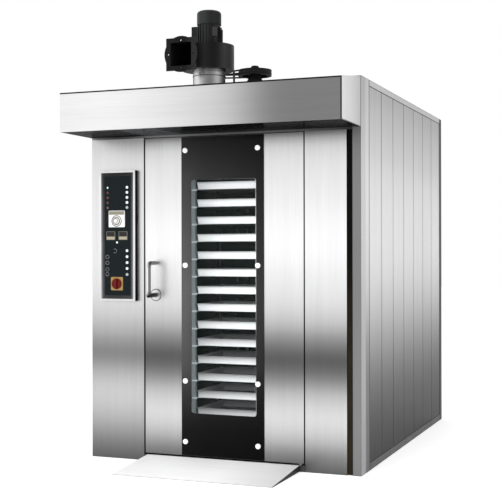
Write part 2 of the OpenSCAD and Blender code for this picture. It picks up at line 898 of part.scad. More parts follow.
module drive_pulley() color("#222222") from_front() {
    translate([0, axis_depth, 0])
        pulley(pulley_r, 34, shaft_r, pulley_z);
}

module motor_pulley() color("#222222") from_front() {
    low_z = body_h + gearbox_h - 60;
    translate([-belt_run_l, axis_depth, 0]) {
        pulley(pinion_r, 24, pinion_shaft_r, pulley_z);
        translate([0, 0, low_z])
            cylinder(r = pinion_shaft_r, h = pulley_top_z - low_z);
    }
}

// Points of an arc around [x, 0] from the angle a0 to the angle a1.
function arc_points(x, r, a0, a1, steps = 40) =
    [for (i = [0:steps]) [x, 0] + r * [cos(a0 + (a1 - a0) * i / steps), sin(a0 + (a1 - a0) * i / steps)]];

// Outline of a belt loop around both pulleys with the radii a and b; its straight runs touch both arcs.
module belt_outline(a, b) {
    wrap = 90 + asin((a - b) / belt_run_l);
    polygon(concat(arc_points(0, a, -wrap, wrap), arc_points(-belt_run_l, b, wrap, 360 - wrap)));
}

module drive_belts() color("#0e0e0e") from_front() {
    for (i = [0, 1])
        translate([0, axis_depth, pulley_z + (i + 0.5) * belt_pitch - belt_w / 2])
            linear_extrude(belt_w)
                difference() {
                    belt_outline(pulley_r, pinion_r);
                    belt_outline(pulley_r - belt_t, pinion_r - belt_t);
                }
}

module gearmotor() color("#3a4046") from_front() {
    motor_l = 230;
    drum_r = 52;
    guide_x = -138;
    translate([-belt_run_l, axis_depth, body_h]) {
        difference() {
            block([-gearbox_w / 2, gearbox_w / 2], [-gearbox_w / 2, gearbox_w / 2], [0, gearbox_h]);
            translate([0, 0, gearbox_h - 62])
                cylinder(r = pinion_shaft_r + running_gap, h = 70);
        }
        rod_y(0, gearbox_w / 2, drum_r + 3, drum_r, motor_l);
        block([-40, 40], [gearbox_w / 2 + 60, gearbox_w / 2 + motor_l - 40], [0, 20]);
    }
    // upright that keeps the belts on their line
    translate([guide_x, axis_depth, body_h])
        cylinder(r = 7, h = pulley_rise + 8);
    translate([guide_x, axis_depth, body_h])
        cylinder(r = 16, h = 6);
}

// ---- heat ----

module heater_bank() color("sienna") from_front() {
    tube_r = 8;
    bend_r = 35;
    hairpin_gap = 60;
    low_z = 320;
    stand_off = 150;
    half_d = 60;
    box_h = 60;
    box_end = 20;
    pitch = 2 * bend_r + hairpin_gap;
    box_low = chamber_h - box_h;
    mid_y = duct_y + stand_off;
    // terminal box under the ceiling
    box_x = pitch * hairpin_count / 2 + box_end;
    difference() {
        block([-box_x, box_x], [mid_y - half_d, mid_y + half_d], [box_low, chamber_h]);
        block([-box_x + sheet_t, box_x - sheet_t], [mid_y - half_d + sheet_t, mid_y + half_d - sheet_t],
            [box_low + sheet_t, chamber_h + 1]);
    }
    for (i = [0:hairpin_count - 1])
        translate([(i - (hairpin_count - 1) / 2) * pitch, mid_y, 0]) {
            for (sx = [-1, 1])
                translate([sx * bend_r, 0, low_z])
                    cylinder(r = tube_r, h = box_low - low_z, $fn = 24);
            translate([0, 0, low_z])
                rotate([90, 0, 0])
                    rotate_extrude(angle = -180, $fn = 32)
                        translate([bend_r, 0])
                            circle(r = tube_r, $fn = 24);
        }
}

module circulation_motor() color("#3a4046") from_front() {
    flange_w = 300;
    flange_t = 10;
    terminal_w = 80;
    terminal_d = 100;
    terminal_h = 40;
    bore_l = 80;
    y0 = bulkhead_y + sheet_t;
    y1 = y0 + flange_t;
    difference() {
        union() {
            block([-flange_w / 2, flange_w / 2], [y0, y1], [fan_z - flange_w / 2, fan_z + flange_w / 2]);
            rod_y(0, y1, fan_z, circ_motor_r, circ_motor_l);
            block([-terminal_w / 2, terminal_w / 2], [y1 + terminal_h, y1 + terminal_h + terminal_d],
                [fan_z + circ_motor_r / 2, fan_z + circ_motor_r + terminal_h]);
        }
        rod_y(0, y0 - 1, fan_z, fan_shaft_r + running_gap, bore_l + 1);
    }
}

module circulation_wheel() color("gray") from_front() {
    blade_count = 12;
    blade_l = 80;
    wheel_w = 140;
    back_y = heater_back_y - 40;
    rod_y(0, back_y - 5, fan_z, fan_r, 5);
    difference() {
        rod_y(0, back_y - wheel_w, fan_z, fan_r, 4);
        rod_y(0, back_y - wheel_w - 1, fan_z, fan_r - blade_l, 6);
    }
    for (i = [0:blade_count - 1])
        translate([0, back_y - wheel_w + 2, fan_z])
            rotate([0, i * 360 / blade_count, 0])
                translate([fan_r - blade_l + 4, 0, 0])
                    rotate([0, 25, 0])
                        cube([blade_l - 8, wheel_w - 4, 3]);
    rod_y(0, back_y - 60, fan_z, 40, 60);
    rod_y(0, back_y - 5, fan_z, fan_shaft_r, bulkhead_y + sheet_t + 75 - back_y + 5);
}

// ---- rack ----

module rack_frame() color("silver") from_front() {
    g = joint_gap;
    half_w_in = rack_half_w - tube_w;
    half_d_in = rack_half_d - tube_w;
    top_rail_z = rack_top_z - tube_w;
    cross_x = yoke_w / 2 - 10;
    runner_front = -rack_half_d - g - runner_t;
    translate([0, axis_depth, 0]) {
        both_sides() {
            // uprights
            for (y = [-rack_half_d, half_d_in])
                block([half_w_in, rack_half_w], [y, y + tube_w], [rack_base_z + tube_w + g, top_rail_z - g]);
            // side rails at the bottom, which hold the swivel pins of the front casters, and at the top
            difference() {
                block([half_w_in, rack_half_w], [-rack_half_d, rack_half_d],
                    [rack_base_z, rack_base_z + tube_w]);
                translate([wheel_x, -wheel_y, rack_base_z - 1])
                    cylinder(r = swivel_pin_r + running_gap, h = swivel_pin_h + 1 + g);
            }
            block([half_w_in, rack_half_w], [-rack_half_d, rack_half_d], [top_rail_z, rack_top_z]);
            // cross rails under the yoke
            block([cross_x - tube_w / 2, cross_x + tube_w / 2], [-half_d_in + g, half_d_in - g],
                [top_rail_z, rack_top_z]);
            // runners that carry the trays, each with a lip before the upright
            for (i = [0:tray_count - 1])
                translate([half_w_in - g, 0, first_tray_z + i * tray_pitch]) {
                    block([-runner_w, 0], [runner_front, rack_half_d], [-runner_t, 0]);
                    block([-runner_t, 0], [runner_front, rack_half_d], [-eps, runner_h]);
                    block([-runner_lip_in, tube_w - 4], [runner_front, runner_front + runner_t],
                        [-runner_lip_h, runner_t]);
                }
            // fixed fork of the rear caster
            translate([wheel_x, wheel_y, 0])
                caster_fork(0);
        }
        for (y = [-rack_half_d, half_d_in])
            for (z = [rack_base_z, top_rail_z])
                block([-half_w_in + g, half_w_in - g], [y, y + tube_w], [z, z + tube_w]);
    }
}

// Fork of a caster: a top plate, two cheeks and the axle, which trails behind the plate's middle.
module caster_fork(trail) {
    top = rack_base_z - joint_gap;
    rear = fork_l / 2 + trail;
    for (sx = [-1, 1])
        translate([sx * (wheel_t / 2 + 2 + fork_t / 2), 0, 0])
            block([-fork_t / 2, fork_t / 2], [-fork_l / 2, rear], [wheel_z - 12, top - fork_t]);
    block([-fork_w / 2, fork_w / 2], [-fork_l / 2, rear], [top - fork_t, top]);
    translate([-fork_w / 2, trail, wheel_z])
        rotate([0, 90, 0])
            cylinder(r = axle_r, h = fork_w);
}

// Fork of a swivelling caster with the pin that turns in the rack's bottom rail.
module swivel_fork(side) {
    translate([side * wheel_x, axis_depth - wheel_y, 0]) {
        caster_fork(caster_trail);
        translate([0, 0, rack_base_z - 1])
            cylinder(r = swivel_pin_r, h = swivel_pin_h + 1);
    }
}

module caster_wheel(side, y) {
    translate([side * wheel_x - wheel_t / 2, y, wheel_z])
        rotate([0, 90, 0])
            difference() {
                cylinder(r = wheel_r, h = wheel_t);
                translate([0, 0, -1])
                    cylinder(r = axle_r + running_gap, h = wheel_t + 2);
            }
}

module left_caster_fork() color("gray") from_front() swivel_fork(-1);
module right_caster_fork() color("gray") from_front() swivel_fork(1);
module wheel_front_left() color("#444444") from_front()
    caster_wheel(-1, axis_depth - wheel_y + caster_trail);
module wheel_front_right() color("#444444") from_front()
    caster_wheel(1, axis_depth - wheel_y + caster_trail);
module wheel_rear_left() color("#444444") from_front() caster_wheel(-1, axis_depth + wheel_y);
module wheel_rear_right() color("#444444") from_front() caster_wheel(1, axis_depth + wheel_y);

module rack_trays() color("white") from_front() {
    rim = 3;
    t = tray_t;
    foot_w = tray_w - 2 * tray_flare - 4;
    foot_d = tray_d - 2 * tray_flare - 4;
    for (i = [0:tray_count - 1])
        translate([0, axis_depth, first_tray_z + i * tray_pitch])
            difference() {
                union() {
                    taper(foot_w, foot_d, tray_w - 4, tray_d - 4, tray_h);
                    translate([-tray_w / 2, -tray_d / 2, tray_h - rim])
                        cube([tray_w, tray_d, rim]);
                }
                translate([0, 0, t])
                    taper(foot_w - 2 * t, foot_d - 2 * t, tray_w - 4 - 2 * t, tray_d - 4 - 2 * t, tray_h);
            }
}

// ---- door ----

module window_hole(y0, y1) {
    round_slab(window_x, window_mid_z, window_w, window_h, window_corner_r, y0, y1);
}

module hinge_bores(extra) {
    translate([hinge_x, hinge_depth, door_bottom - 1])
        cylinder(r = hinge_pin_r + extra, h = 36);
    translate([hinge_x, hinge_depth, door_top - 35])
        cylinder(r = hinge_pin_r + extra, h = 36);
}

module door_shell() color("gainsboro") from_front() {
    t = sheet_t;
    difference() {
        block([door_left, door_right], [0, door_t - t], [door_bottom, door_top]);
        block([door_left + t, door_right - t], [t, door_t], [door_bottom + t, door_top - t]);
        window_hole(-1, t + 1);
        hinge_bores(running_gap);
        rod_y(spindle_x, -1, spindle_z, spindle_r + 2, t + 2);
    }
    // rosette around the handle's spindle
    difference() {
        rod_y(spindle_x, -rosette_t, spindle_z, rosette_r, rosette_t);
        rod_y(spindle_x, -rosette_t - 1, spindle_z, spindle_r + running_gap, rosette_t + 2);
    }
}

module door_core() color("khaki") from_front() {
    t = sheet_t;
    m = tunnel_margin;
    difference() {
        block([door_left + t, door_right - t], [t, door_t - t], [door_bottom + t, door_top - t]);
        block([window_x - window_w / 2 - m, window_x + window_w / 2 + m], [0, door_t],
            [window_bottom - m, window_bottom + window_h + m]);
        hinge_bores(1);
        rod_y(spindle_x, 0, spindle_z, spindle_r + 2, door_t / 2);
        rod_y(spindle_x, door_t / 2 - 10, spindle_z, latch_pocket_r, 30);
    }
}

module door_liner() color("silver") from_front() {
    t = sheet_t;
    m = tunnel_margin;
    difference() {
        block([door_left, door_right], [door_t - t, door_t], [door_bottom, door_top]);
        round_slab(window_x, window_mid_z, window_w + 2 * (m - pane_rest), window_h + 2 * (m - pane_rest),
            window_corner_r, door_t - t - 1, door_t + 1);
    }
    // lining of the window's tunnel
    difference() {
        block([window_x - window_w / 2 - m, window_x + window_w / 2 + m], [t, door_t - t - 5],
            [window_bottom - m, window_bottom + window_h + m]);
        block([window_x - window_w / 2 - m + t, window_x + window_w / 2 + m - t], [0, door_t],
            [window_bottom - m + t, window_bottom + window_h + m - t]);
    }
}

module door_glass() color("#101214", 0.6) from_front() {
    m = tunnel_margin;
    // outer pane on the door's face
    difference() {
        block([glass_x - glass_w / 2, glass_x + glass_w / 2], [-glass_t, 0],
            [glass_bottom, glass_top]);
        for (sx = [-1, 1])
            for (z = cap_heights)
                rod_y(glass_x + sx * cap_x, -glass_t - 1, z, stem_r + 0.2, glass_t + 2);
    }
    // inner pane
    block([window_x - window_w / 2 - m, window_x + window_w / 2 + m],
        [door_t - sheet_t - 5, door_t - sheet_t],
        [window_bottom - m, window_bottom + window_h + m]);
}

module glass_caps() color("white") from_front() {
    cap_t = 8;
    for (sx = [-1, 1])
        for (z = cap_heights) {
            rod_y(glass_x + sx * cap_x, -glass_t, z, stem_r, glass_t);
            translate([glass_x + sx * cap_x, -glass_t, z])
                rotate([90, 0, 0])
                    rotate_extrude($fn = 48) {
                        square([cap_r, cap_t - 3]);
                        square([cap_r - 3, cap_t]);
                        translate([cap_r - 3, cap_t - 3])
                            intersection() {
                                circle(r = 3);
                                square([3, 3]);
                            }
                    }
        }
}

module door_gasket() color("#2b2b2b") from_front() {
    gap = jamb_y - door_t - moving_gap;
    edge = 4;
    left = door_left + edge;
    right = hinge_x + hinge_clear;
    difference() {
        block([left, right], [door_t, door_t + gap], [door_bottom + edge, door_top - edge]);
        block([left + gasket_w, right - gasket_w], [door_t - 1, door_t + gap + 1],
            [door_bottom + edge + gasket_w, door_top - edge - gasket_w]);
    }
}

module door_handle() color("#8d9094") from_front() {
    bend_r = grip_r * 1.9;
    arm_z = spindle_z + grip_h;
    end_gap = 8;
    cam_y = door_t / 2 + 4;
    // hub and spindle
    rod_y(spindle_x, -grip_reach - grip_r, spindle_z, hub_r, grip_reach + grip_r - rosette_t - moving_gap);
    rod_y(spindle_x, -grip_reach, spindle_z, spindle_r, grip_reach + cam_y + 8);
    // grip
    translate([spindle_x, -grip_reach, spindle_z])
        cylinder(r = grip_r, h = grip_h - bend_r);
    translate([spindle_x, -grip_reach + bend_r, arm_z - bend_r])
        rotate([90, 0, -90])
            rotate_extrude(angle = 90)
                translate([bend_r, 0])
                    circle(r = grip_r);
    rod_y(spindle_x, -grip_reach + bend_r, arm_z, grip_r, grip_reach - bend_r - end_gap);
    // latch cam inside the door
    block([spindle_x - latch_pocket_r + 5, spindle_x], [cam_y, cam_y + 8], [spindle_z - 9, spindle_z + 9]);
}

// ---- controls ----

module control_bezel() color("whitesmoke") from_front() {
    inner_w = box_w - 2 * bezel_w;
    inner_h = box_h - 2 * bezel_w;
    difference() {
        block([box_x - box_w / 2, box_x + box_w / 2], [-box_proud, 0],
            [box_mid_z - box_h / 2, box_mid_z + box_h / 2]);
        translate([box_x, -box_proud + bevel_d, box_mid_z])
            rotate([90, 0, 0])
                taper(plate_w, plate_h, inner_w, inner_h, bevel_d + eps);
        block([box_x - plate_w / 2, box_x + plate_w / 2], [-box_proud, 1],
            [box_mid_z - plate_h / 2, box_mid_z + plate_h / 2]);
    }
}

module control_plate() color("#14181a") from_front() {
    difference() {
        block([box_x - plate_w / 2, box_x + plate_w / 2], [plate_y, plate_y + plate_t],
            [box_mid_z - plate_h / 2, box_mid_z + plate_h / 2]);
        for (i = [0:4]) {
            rod_y(face_x + button_x, plate_y - 1, box_mid_z + upper_row_z - i * upper_pitch,
                button_r + moving_gap, plate_t + 2);
            rod_y(face_x + button_x, plate_y - 1, box_mid_z + lower_row_z - i * lower_pitch,
                button_r + moving_gap, plate_t + 2);
            rod_y(face_x - lamp_x, plate_y - 1, box_mid_z + upper_row_z - i * upper_pitch,
                stem_r, plate_t + 2);
        }
        rod_y(face_x, plate_y - 1, middle_lamp_z, stem_r, plate_t + 2);
        rod_y(face_x, plate_y - 1, timer_z, stem_r + 2, plate_t + 2);
        rod_y(face_x, plate_y - 1, switch_z, stem_r + 2, plate_t + 2);
    }
}

module displays() color("#6f6a5c") from_front() {
    for (sx = [-1, 1])
        block([face_x + sx * display_x - display_w / 2, face_x + sx * display_x + display_w / 2],
            [plate_y - 3, plate_y], [display_z - display_h / 2, display_z + display_h / 2]);
}

// Lamp with a stem through the plate.
module lamp(x, z) {
    rod_y(x, plate_y - 3, z, lamp_r, 3);
    rod_y(x, plate_y, z, stem_r, plate_t + 3);
}

module indicator_lamps() color("firebrick") from_front() {
    for (i = [0:4])
        lamp(face_x - lamp_x, box_mid_z + upper_row_z - i * upper_pitch);
    lamp(face_x, middle_lamp_z);
}

module timer_module() color("ivory") from_front() {
    difference() {
        block([face_x - timer_w / 2, face_x + timer_w / 2], [plate_y - 6, plate_y],
            [timer_z - timer_h / 2, timer_z + timer_h / 2]);
        rod_y(face_x, plate_y - 7, timer_z - 12, 4 + running_gap, 8);
    }
}

module switch_plate() color("gold") from_front() {
    difference() {
        block([face_x - switch_w / 2, face_x + switch_w / 2], [plate_y - 4, plate_y],
            [switch_z - switch_w / 2, switch_z + switch_w / 2]);
        rod_y(face_x, plate_y - 5, switch_z, stem_r + running_gap, 6);
    }
}

module timer_knob() color("white") from_front() {
    front_y = plate_y - 6 - moving_gap;
    rod_y(face_x, front_y - 14, timer_z - 12, timer_knob_r, 14);
    rod_y(face_x, front_y, timer_z - 12, 4, 6);
}

module switch_knob() color("crimson") from_front() {
    front_y = plate_y - 4 - moving_gap;
    grip_w = 14;
    rod_y(face_x, front_y - 8, switch_z, switch_knob_r, 8);
    block([face_x - grip_w / 2, face_x + grip_w / 2], [front_y - 20, front_y - 8],
        [switch_z - switch_knob_r + 2, switch_z + switch_knob_r - 2]);
    rod_y(face_x, front_y, switch_z, stem_r, 7);
}

// Push button: a round cap with a retaining flange behind the plate.
module push_button(z) {
    back_y = plate_y + plate_t;
    rod_y(face_x + button_x, plate_y - button_travel - 1, z, button_r, plate_t + button_travel + 5);
    rod_y(face_x + button_x, back_y + moving_gap, z, button_r + 2, 3);
}

module upper_button(i) color("white") from_front()
    push_button(box_mid_z + upper_row_z - (i - 1) * upper_pitch);
module lower_button(i) color("white") from_front()
    push_button(box_mid_z + lower_row_z - (i - 1) * lower_pitch);

// ---- ramp ----

module entry_ramp() color("whitesmoke") from_front() {
    mid_x = (door_left + door_right) / 2 - 7;
    ramp_w = door_right - door_left + 2 * door_seam - 2 * ramp_inset;
    top = floor_h;
    translate([mid_x - ramp_w / 2, 0, 0])
        rotate([90, 0, 90]) {
            linear_extrude(ramp_w)
                polygon([[-ramp_d, 0], [-ramp_d, ramp_t], [0, top], [0, top - ramp_t], [-ramp_d + 45, 0]]);
            for (x = [0, ramp_w - ramp_t])
                translate([0, 0, x])
                    linear_extrude(ramp_t)
                        polygon([[-ramp_d, 0], [0, 0], [0, top - ramp_t], [-ramp_d, ramp_t / 2]]);
        }
}

base_frame();
chamber_floor();
chamber_liner();
air_duct_wall();
insulation();
wall_panels();
roof_panels();
front_columns();
corner_posts();
front_header();
door_hinge_pins();
hood_shell();
hood_underside();
entry_ramp();
duct_collar();
blower_casing();
blower_motor();
shaft_bearings();
gearmotor();
drive_belts();
heater_bank();
circulation_motor();
control_bezel();
control_plate();
displays();
indicator_lamps();
timer_module();
switch_plate();
blower_wheel();
drive_shaft();
drive_pulley();
motor_pulley();
circulation_wheel();
rack_frame();
rack_trays();
left_caster_fork();
right_caster_fork();
wheel_front_left();
wheel_front_right();
wheel_rear_left();
wheel_rear_right();
door_shell();
door_core();
door_liner();
door_glass();
door_gasket();
glass_caps();
door_handle();
timer_knob();
switch_knob();
upper_button(1);  // upper_button_1
upper_button(2);  // upper_button_2
upper_button(3);  // upper_button_3
upper_button(4);  // upper_button_4
upper_button(5);  // upper_button_5
lower_button(1);  // lower_button_1
lower_button(2);  // lower_button_2
lower_button(3);  // lower_button_3
lower_button(4);  // lower_button_4
lower_button(5);  // lower_button_5
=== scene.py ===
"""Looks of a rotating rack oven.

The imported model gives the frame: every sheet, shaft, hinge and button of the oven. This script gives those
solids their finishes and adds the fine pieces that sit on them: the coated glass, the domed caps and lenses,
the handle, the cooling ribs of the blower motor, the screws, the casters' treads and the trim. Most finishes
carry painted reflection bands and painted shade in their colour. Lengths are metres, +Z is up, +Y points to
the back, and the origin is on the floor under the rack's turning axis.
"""

from __future__ import annotations

import json
import logging
import math
from dataclasses import dataclass
from enum import Enum
from functools import cache, cached_property

import bmesh
import bpy
import numpy as np
from mathutils import Matrix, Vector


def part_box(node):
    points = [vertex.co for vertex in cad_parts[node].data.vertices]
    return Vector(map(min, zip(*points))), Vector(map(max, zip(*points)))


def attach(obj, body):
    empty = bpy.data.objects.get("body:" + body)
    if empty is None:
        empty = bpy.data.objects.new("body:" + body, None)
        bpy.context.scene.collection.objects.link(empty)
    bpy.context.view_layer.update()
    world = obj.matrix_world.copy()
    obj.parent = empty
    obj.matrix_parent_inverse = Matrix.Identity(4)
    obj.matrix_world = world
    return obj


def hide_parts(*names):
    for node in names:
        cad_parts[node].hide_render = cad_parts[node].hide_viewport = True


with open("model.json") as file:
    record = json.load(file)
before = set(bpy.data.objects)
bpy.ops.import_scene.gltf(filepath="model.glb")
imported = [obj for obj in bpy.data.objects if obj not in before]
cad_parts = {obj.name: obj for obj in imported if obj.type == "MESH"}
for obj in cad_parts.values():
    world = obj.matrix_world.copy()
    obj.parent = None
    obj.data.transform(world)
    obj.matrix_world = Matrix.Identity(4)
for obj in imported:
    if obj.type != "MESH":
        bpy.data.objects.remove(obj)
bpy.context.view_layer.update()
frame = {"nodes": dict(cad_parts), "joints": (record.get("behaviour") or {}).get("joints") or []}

LOG = logging.getLogger("rack_oven")

Grey = float
Colour = tuple[float, float, float]
Point = tuple[float, float, float]
Span = tuple[float, float]
Node = bpy.types.Node
Socket = bpy.types.NodeSocket


class Axis(Enum):
    """The three directions of the part's frame."""

    X = 0
    Y = 1
    Z = 2


class Ends(Enum):
    """How the two ends of a stack of rings are closed."""

    CAPPED = "capped"
    LOOP = "loop"
    POLES = "poles"


# Surfaces


def rounded_outline(width: float, height: float, radius: float, steps: int = 8) -> np.ndarray:
    """Outline of a rectangle with quarter-circle corners.

    Each corner is its centre plus radius times (cos a, sin a), with a running over a quarter turn.

    Args:
        width: Size along the first direction.
        height: Size along the second direction.
        radius: Corner radius.
        steps: Points on each corner.

    Returns:
        Points of the outline, shaped (4 * steps, 2), counter-clockwise.
    """
    angle = np.arange(4)[:, None] * np.pi / 2 + np.linspace(0, np.pi / 2, steps)
    centre = np.array([[1, 1], [-1, 1], [-1, -1], [1, -1]]) * [width / 2 - radius, height / 2 - radius]
    arc = radius * np.stack([np.cos(angle), np.sin(angle)], axis=-1)
    return (centre[:, None, :] + arc).reshape(-1, 2)


def upright_rings(outlines: list[np.ndarray], depths: list[float], x: float, z: float) -> np.ndarray:
    """Rings that stand in XZ planes: a ring's point is (x + u, depth, z + v) for the outline's (u, v).

    Args:
        outlines: One outline for each ring, all of one length.
        depths: Y of each ring.
        x: Middle of the rings.
        z: Middle of the rings.

    Returns:
        Points, shaped (rings, points, 3).
    """
    flat = np.stack(outlines)
    depth = np.broadcast_to(np.array(depths)[:, None], flat.shape[:2])
    return np.stack([x + flat[..., 0], depth, z + flat[..., 1]], axis=-1)


def prism(outline: np.ndarray, low: float, high: float) -> np.ndarray:
    """Rings of an upright prism: the outline in XY at two heights."""
    return np.stack([np.column_stack([outline, np.full(len(outline), z)]) for z in (low, high)])


def turned_rings(profile: np.ndarray, centre: Point, axis: Axis, sides: int) -> np.ndarray:
    """Surface of revolution: a profile point (r, h) becomes the circle of radius r at the height h.

    Args:
        profile: Radius and height of each ring, shaped (rings, 2).
        centre: Point on the axis where the height is 0.
        axis: Direction of the axis.
        sides: Points round each ring.

    Returns:
        Points, shaped (rings, sides, 3).
    """
    angle = np.linspace(0, 2 * np.pi, sides, endpoint=False)
    first, second = profile[:, :1] * np.cos(angle), profile[:, :1] * np.sin(angle)
    along = np.broadcast_to(profile[:, 1:], first.shape)
    order = {Axis.X: (along, first, second), Axis.Y: (second, along, first), Axis.Z: (first, second, along)}
    return np.stack(order[axis], axis=-1) + np.array(centre)


def swept_rings(path: np.ndarray, radius: np.ndarray | float, across: Point, sides: int = 24) -> np.ndarray:
    """Round tube along a path that lies in one plane.

    Each ring is the path's point plus r (cos a * across + sin a * side), where side is across crossed with
    the path's direction.

    Args:
        path: Points of the centreline, shaped (rings, 3).
        radius: Radius of the tube, or one for each point.
        across: Unit direction at right angles to the path's plane.
        sides: Points round the tube.

    Returns:
        Points, shaped (rings, sides, 3).
    """
    direction = np.gradient(path, axis=0)
    direction /= np.linalg.norm(direction, axis=1, keepdims=True)
    wide = np.broadcast_to(np.array(across, float), path.shape)
    side = np.cross(wide, direction)
    angle = np.linspace(0, 2 * np.pi, sides, endpoint=False)[None, :, None]
    ring = np.cos(angle) * wide[:, None, :] + np.sin(angle) * side[:, None, :]
    return path[:, None, :] + np.broadcast_to(radius, len(path))[:, None, None] * ring


def plate_rings(
    width: float, height: float, radius: float, x: float, z: float, back: float, front: float, edge: float
) -> np.ndarray:
    """Rounded plate in an XZ plane with a softened front edge.

    The outline shrinks by edge * (1 - cos a) while it moves forward by edge * sin a over a quarter turn.

    Args:
        width: Width of the plate.
        height: Height of the plate.
        radius: Corner radius.
        x: Middle of the plate.
        z: Middle of the plate.
        back: Y of the back face.
        front: Y of the front face, which is the lower value.
        edge: Radius of the front edge.

    Returns:
        Rings from the back to the front.
    """
    turn = np.linspace(0, np.pi / 2, 5)
    shrink = np.concatenate([[0.0], edge * (1 - np.cos(turn))])
    depth = np.concatenate([[back], front + edge - edge * np.sin(turn)])
    outlines = [rounded_outline(width - 2 * s, height - 2 * s, max(radius - s, 0.0002)) for s in shrink]
    return upright_rings(outlines, depth.tolist(), x, z)


def dome_profile(radius: float, rise: float, skirt: float, direction: int = -1) -> np.ndarray:
    """Profile of a cap: a straight skirt and an elliptical dome that ends at a pole.

    The dome's point is (radius * cos a, skirt + rise * sin a) over a quarter turn.

    Args:
        radius: Radius of the cap.
        rise: Height of the dome.
        skirt: Height of the straight wall.
        direction: Sign of the height along the axis.

    Returns:
        Radius and height of each ring.
    """
    turn = np.linspace(0, np.pi / 2, 8)
    r = np.concatenate([[0.0, radius], radius * np.cos(turn)])
    h = np.concatenate([[0.0, 0.0], skirt + rise * np.sin(turn)])
    return np.column_stack([r, direction * h])


def ring_profile(radius: float, section: float, steps: int = 8) -> np.ndarray:
    """Profile of a round bead: a circle of the given section at the given radius.

    Args:
        radius: Radius of the ring's centreline.
        section: Radius of the bead.
        steps: Points round the bead.

    Returns:
        Radius and height of each point of the bead.
    """
    turn = np.linspace(0, 2 * np.pi, steps, endpoint=False)
    return np.column_stack([radius + section * np.cos(turn), section * np.sin(turn)])


def grid_faces(rows: int, columns: int, loop: bool, offset: int) -> np.ndarray:
    """Quads that join neighbouring points of a grid whose rows are closed rings.

    Args:
        rows: Number of rings.
        columns: Points in each ring.
        loop: Whether the last ring joins the first.
        offset: Index of the grid's first point.

    Returns:
        Point indices of the quads, shaped (quads, 4).
    """
    index = np.arange(rows * columns).reshape(rows, columns) + offset
    near = index if loop else index[:-1]
    far = np.roll(index, -1, axis=0) if loop else index[1:]
    return np.stack([near, far, np.roll(far, -1, axis=1), np.roll(near, -1, axis=1)], axis=-1).reshape(-1, 4)


def mesh_of(name: str, stacks: list[np.ndarray], ends: Ends, smooth_deg: float) -> bpy.types.Object:
    """Closed mesh from one or more stacks of rings.

    Args:
        name: Name of the object and of its mesh.
        stacks: Each shaped (rings, points, 3).
        ends: How each stack is closed.
        smooth_deg: Edges flatter than this are shaded smooth.

    Returns:
        The new object, at the origin.
    """
    faces: list[list[int]] = []
    offset = 0
    for stack in stacks:
        rows, columns = stack.shape[:2]
        faces += grid_faces(rows, columns, ends is Ends.LOOP, offset).tolist()
        if ends is Ends.CAPPED:
            faces += [list(range(start, start + columns)) for start in (offset, offset + (rows - 1) * columns)]
        offset += rows * columns
    mesh = bpy.data.meshes.new(name)
    mesh.from_pydata(np.concatenate([stack.reshape(-1, 3) for stack in stacks]).tolist(), [], faces)
    shape = bmesh.new()
    shape.from_mesh(mesh)
    bmesh.ops.remove_doubles(shape, verts=shape.verts, dist=1e-6)
    bmesh.ops.recalc_face_normals(shape, faces=shape.faces)
    shape.to_mesh(mesh)
    shape.free()
    mesh.shade_smooth()
    mesh.set_sharp_from_angle(angle=math.radians(smooth_deg))
    piece = bpy.data.objects.new(name, mesh)
    bpy.context.scene.collection.objects.link(piece)
    return piece


# Finishes

OPEN = 9.0
ANYWHERE: Span = (-OPEN, OPEN)
UNTINTED: Colour = (1.0, 1.0, 1.0)


@dataclass(frozen=True)
class Tones:
    """Painted greys of a sheet along one axis: the reflection bands and shade of a studio horizon in brushed steel.

    Args:
        axis: Direction along which the tone changes.
        stops: Position in metres and grey at that place; a single stop is one even grey.
        pitch: Length after which the tones repeat, or 0.
        start: Where a repeat starts.
    """

    axis: Axis
    stops: tuple[tuple[float, Grey], ...]
    pitch: float = 0.0
    start: float = 0.0


def even(grey: Grey) -> Tones:
    """The same grey everywhere."""
    return Tones(Axis.Z, ((0.0, grey),))


def linear(colour: Colour, grey: Grey = 1.0) -> tuple[float, ...]:
    """Linear RGBA of a display colour times a grey."""
    shown = [grey * c for c in colour]
    return (*(c / 12.92 if c <= 0.04045 else ((c + 0.055) / 1.055) ** 2.4 for c in shown), 1.0)


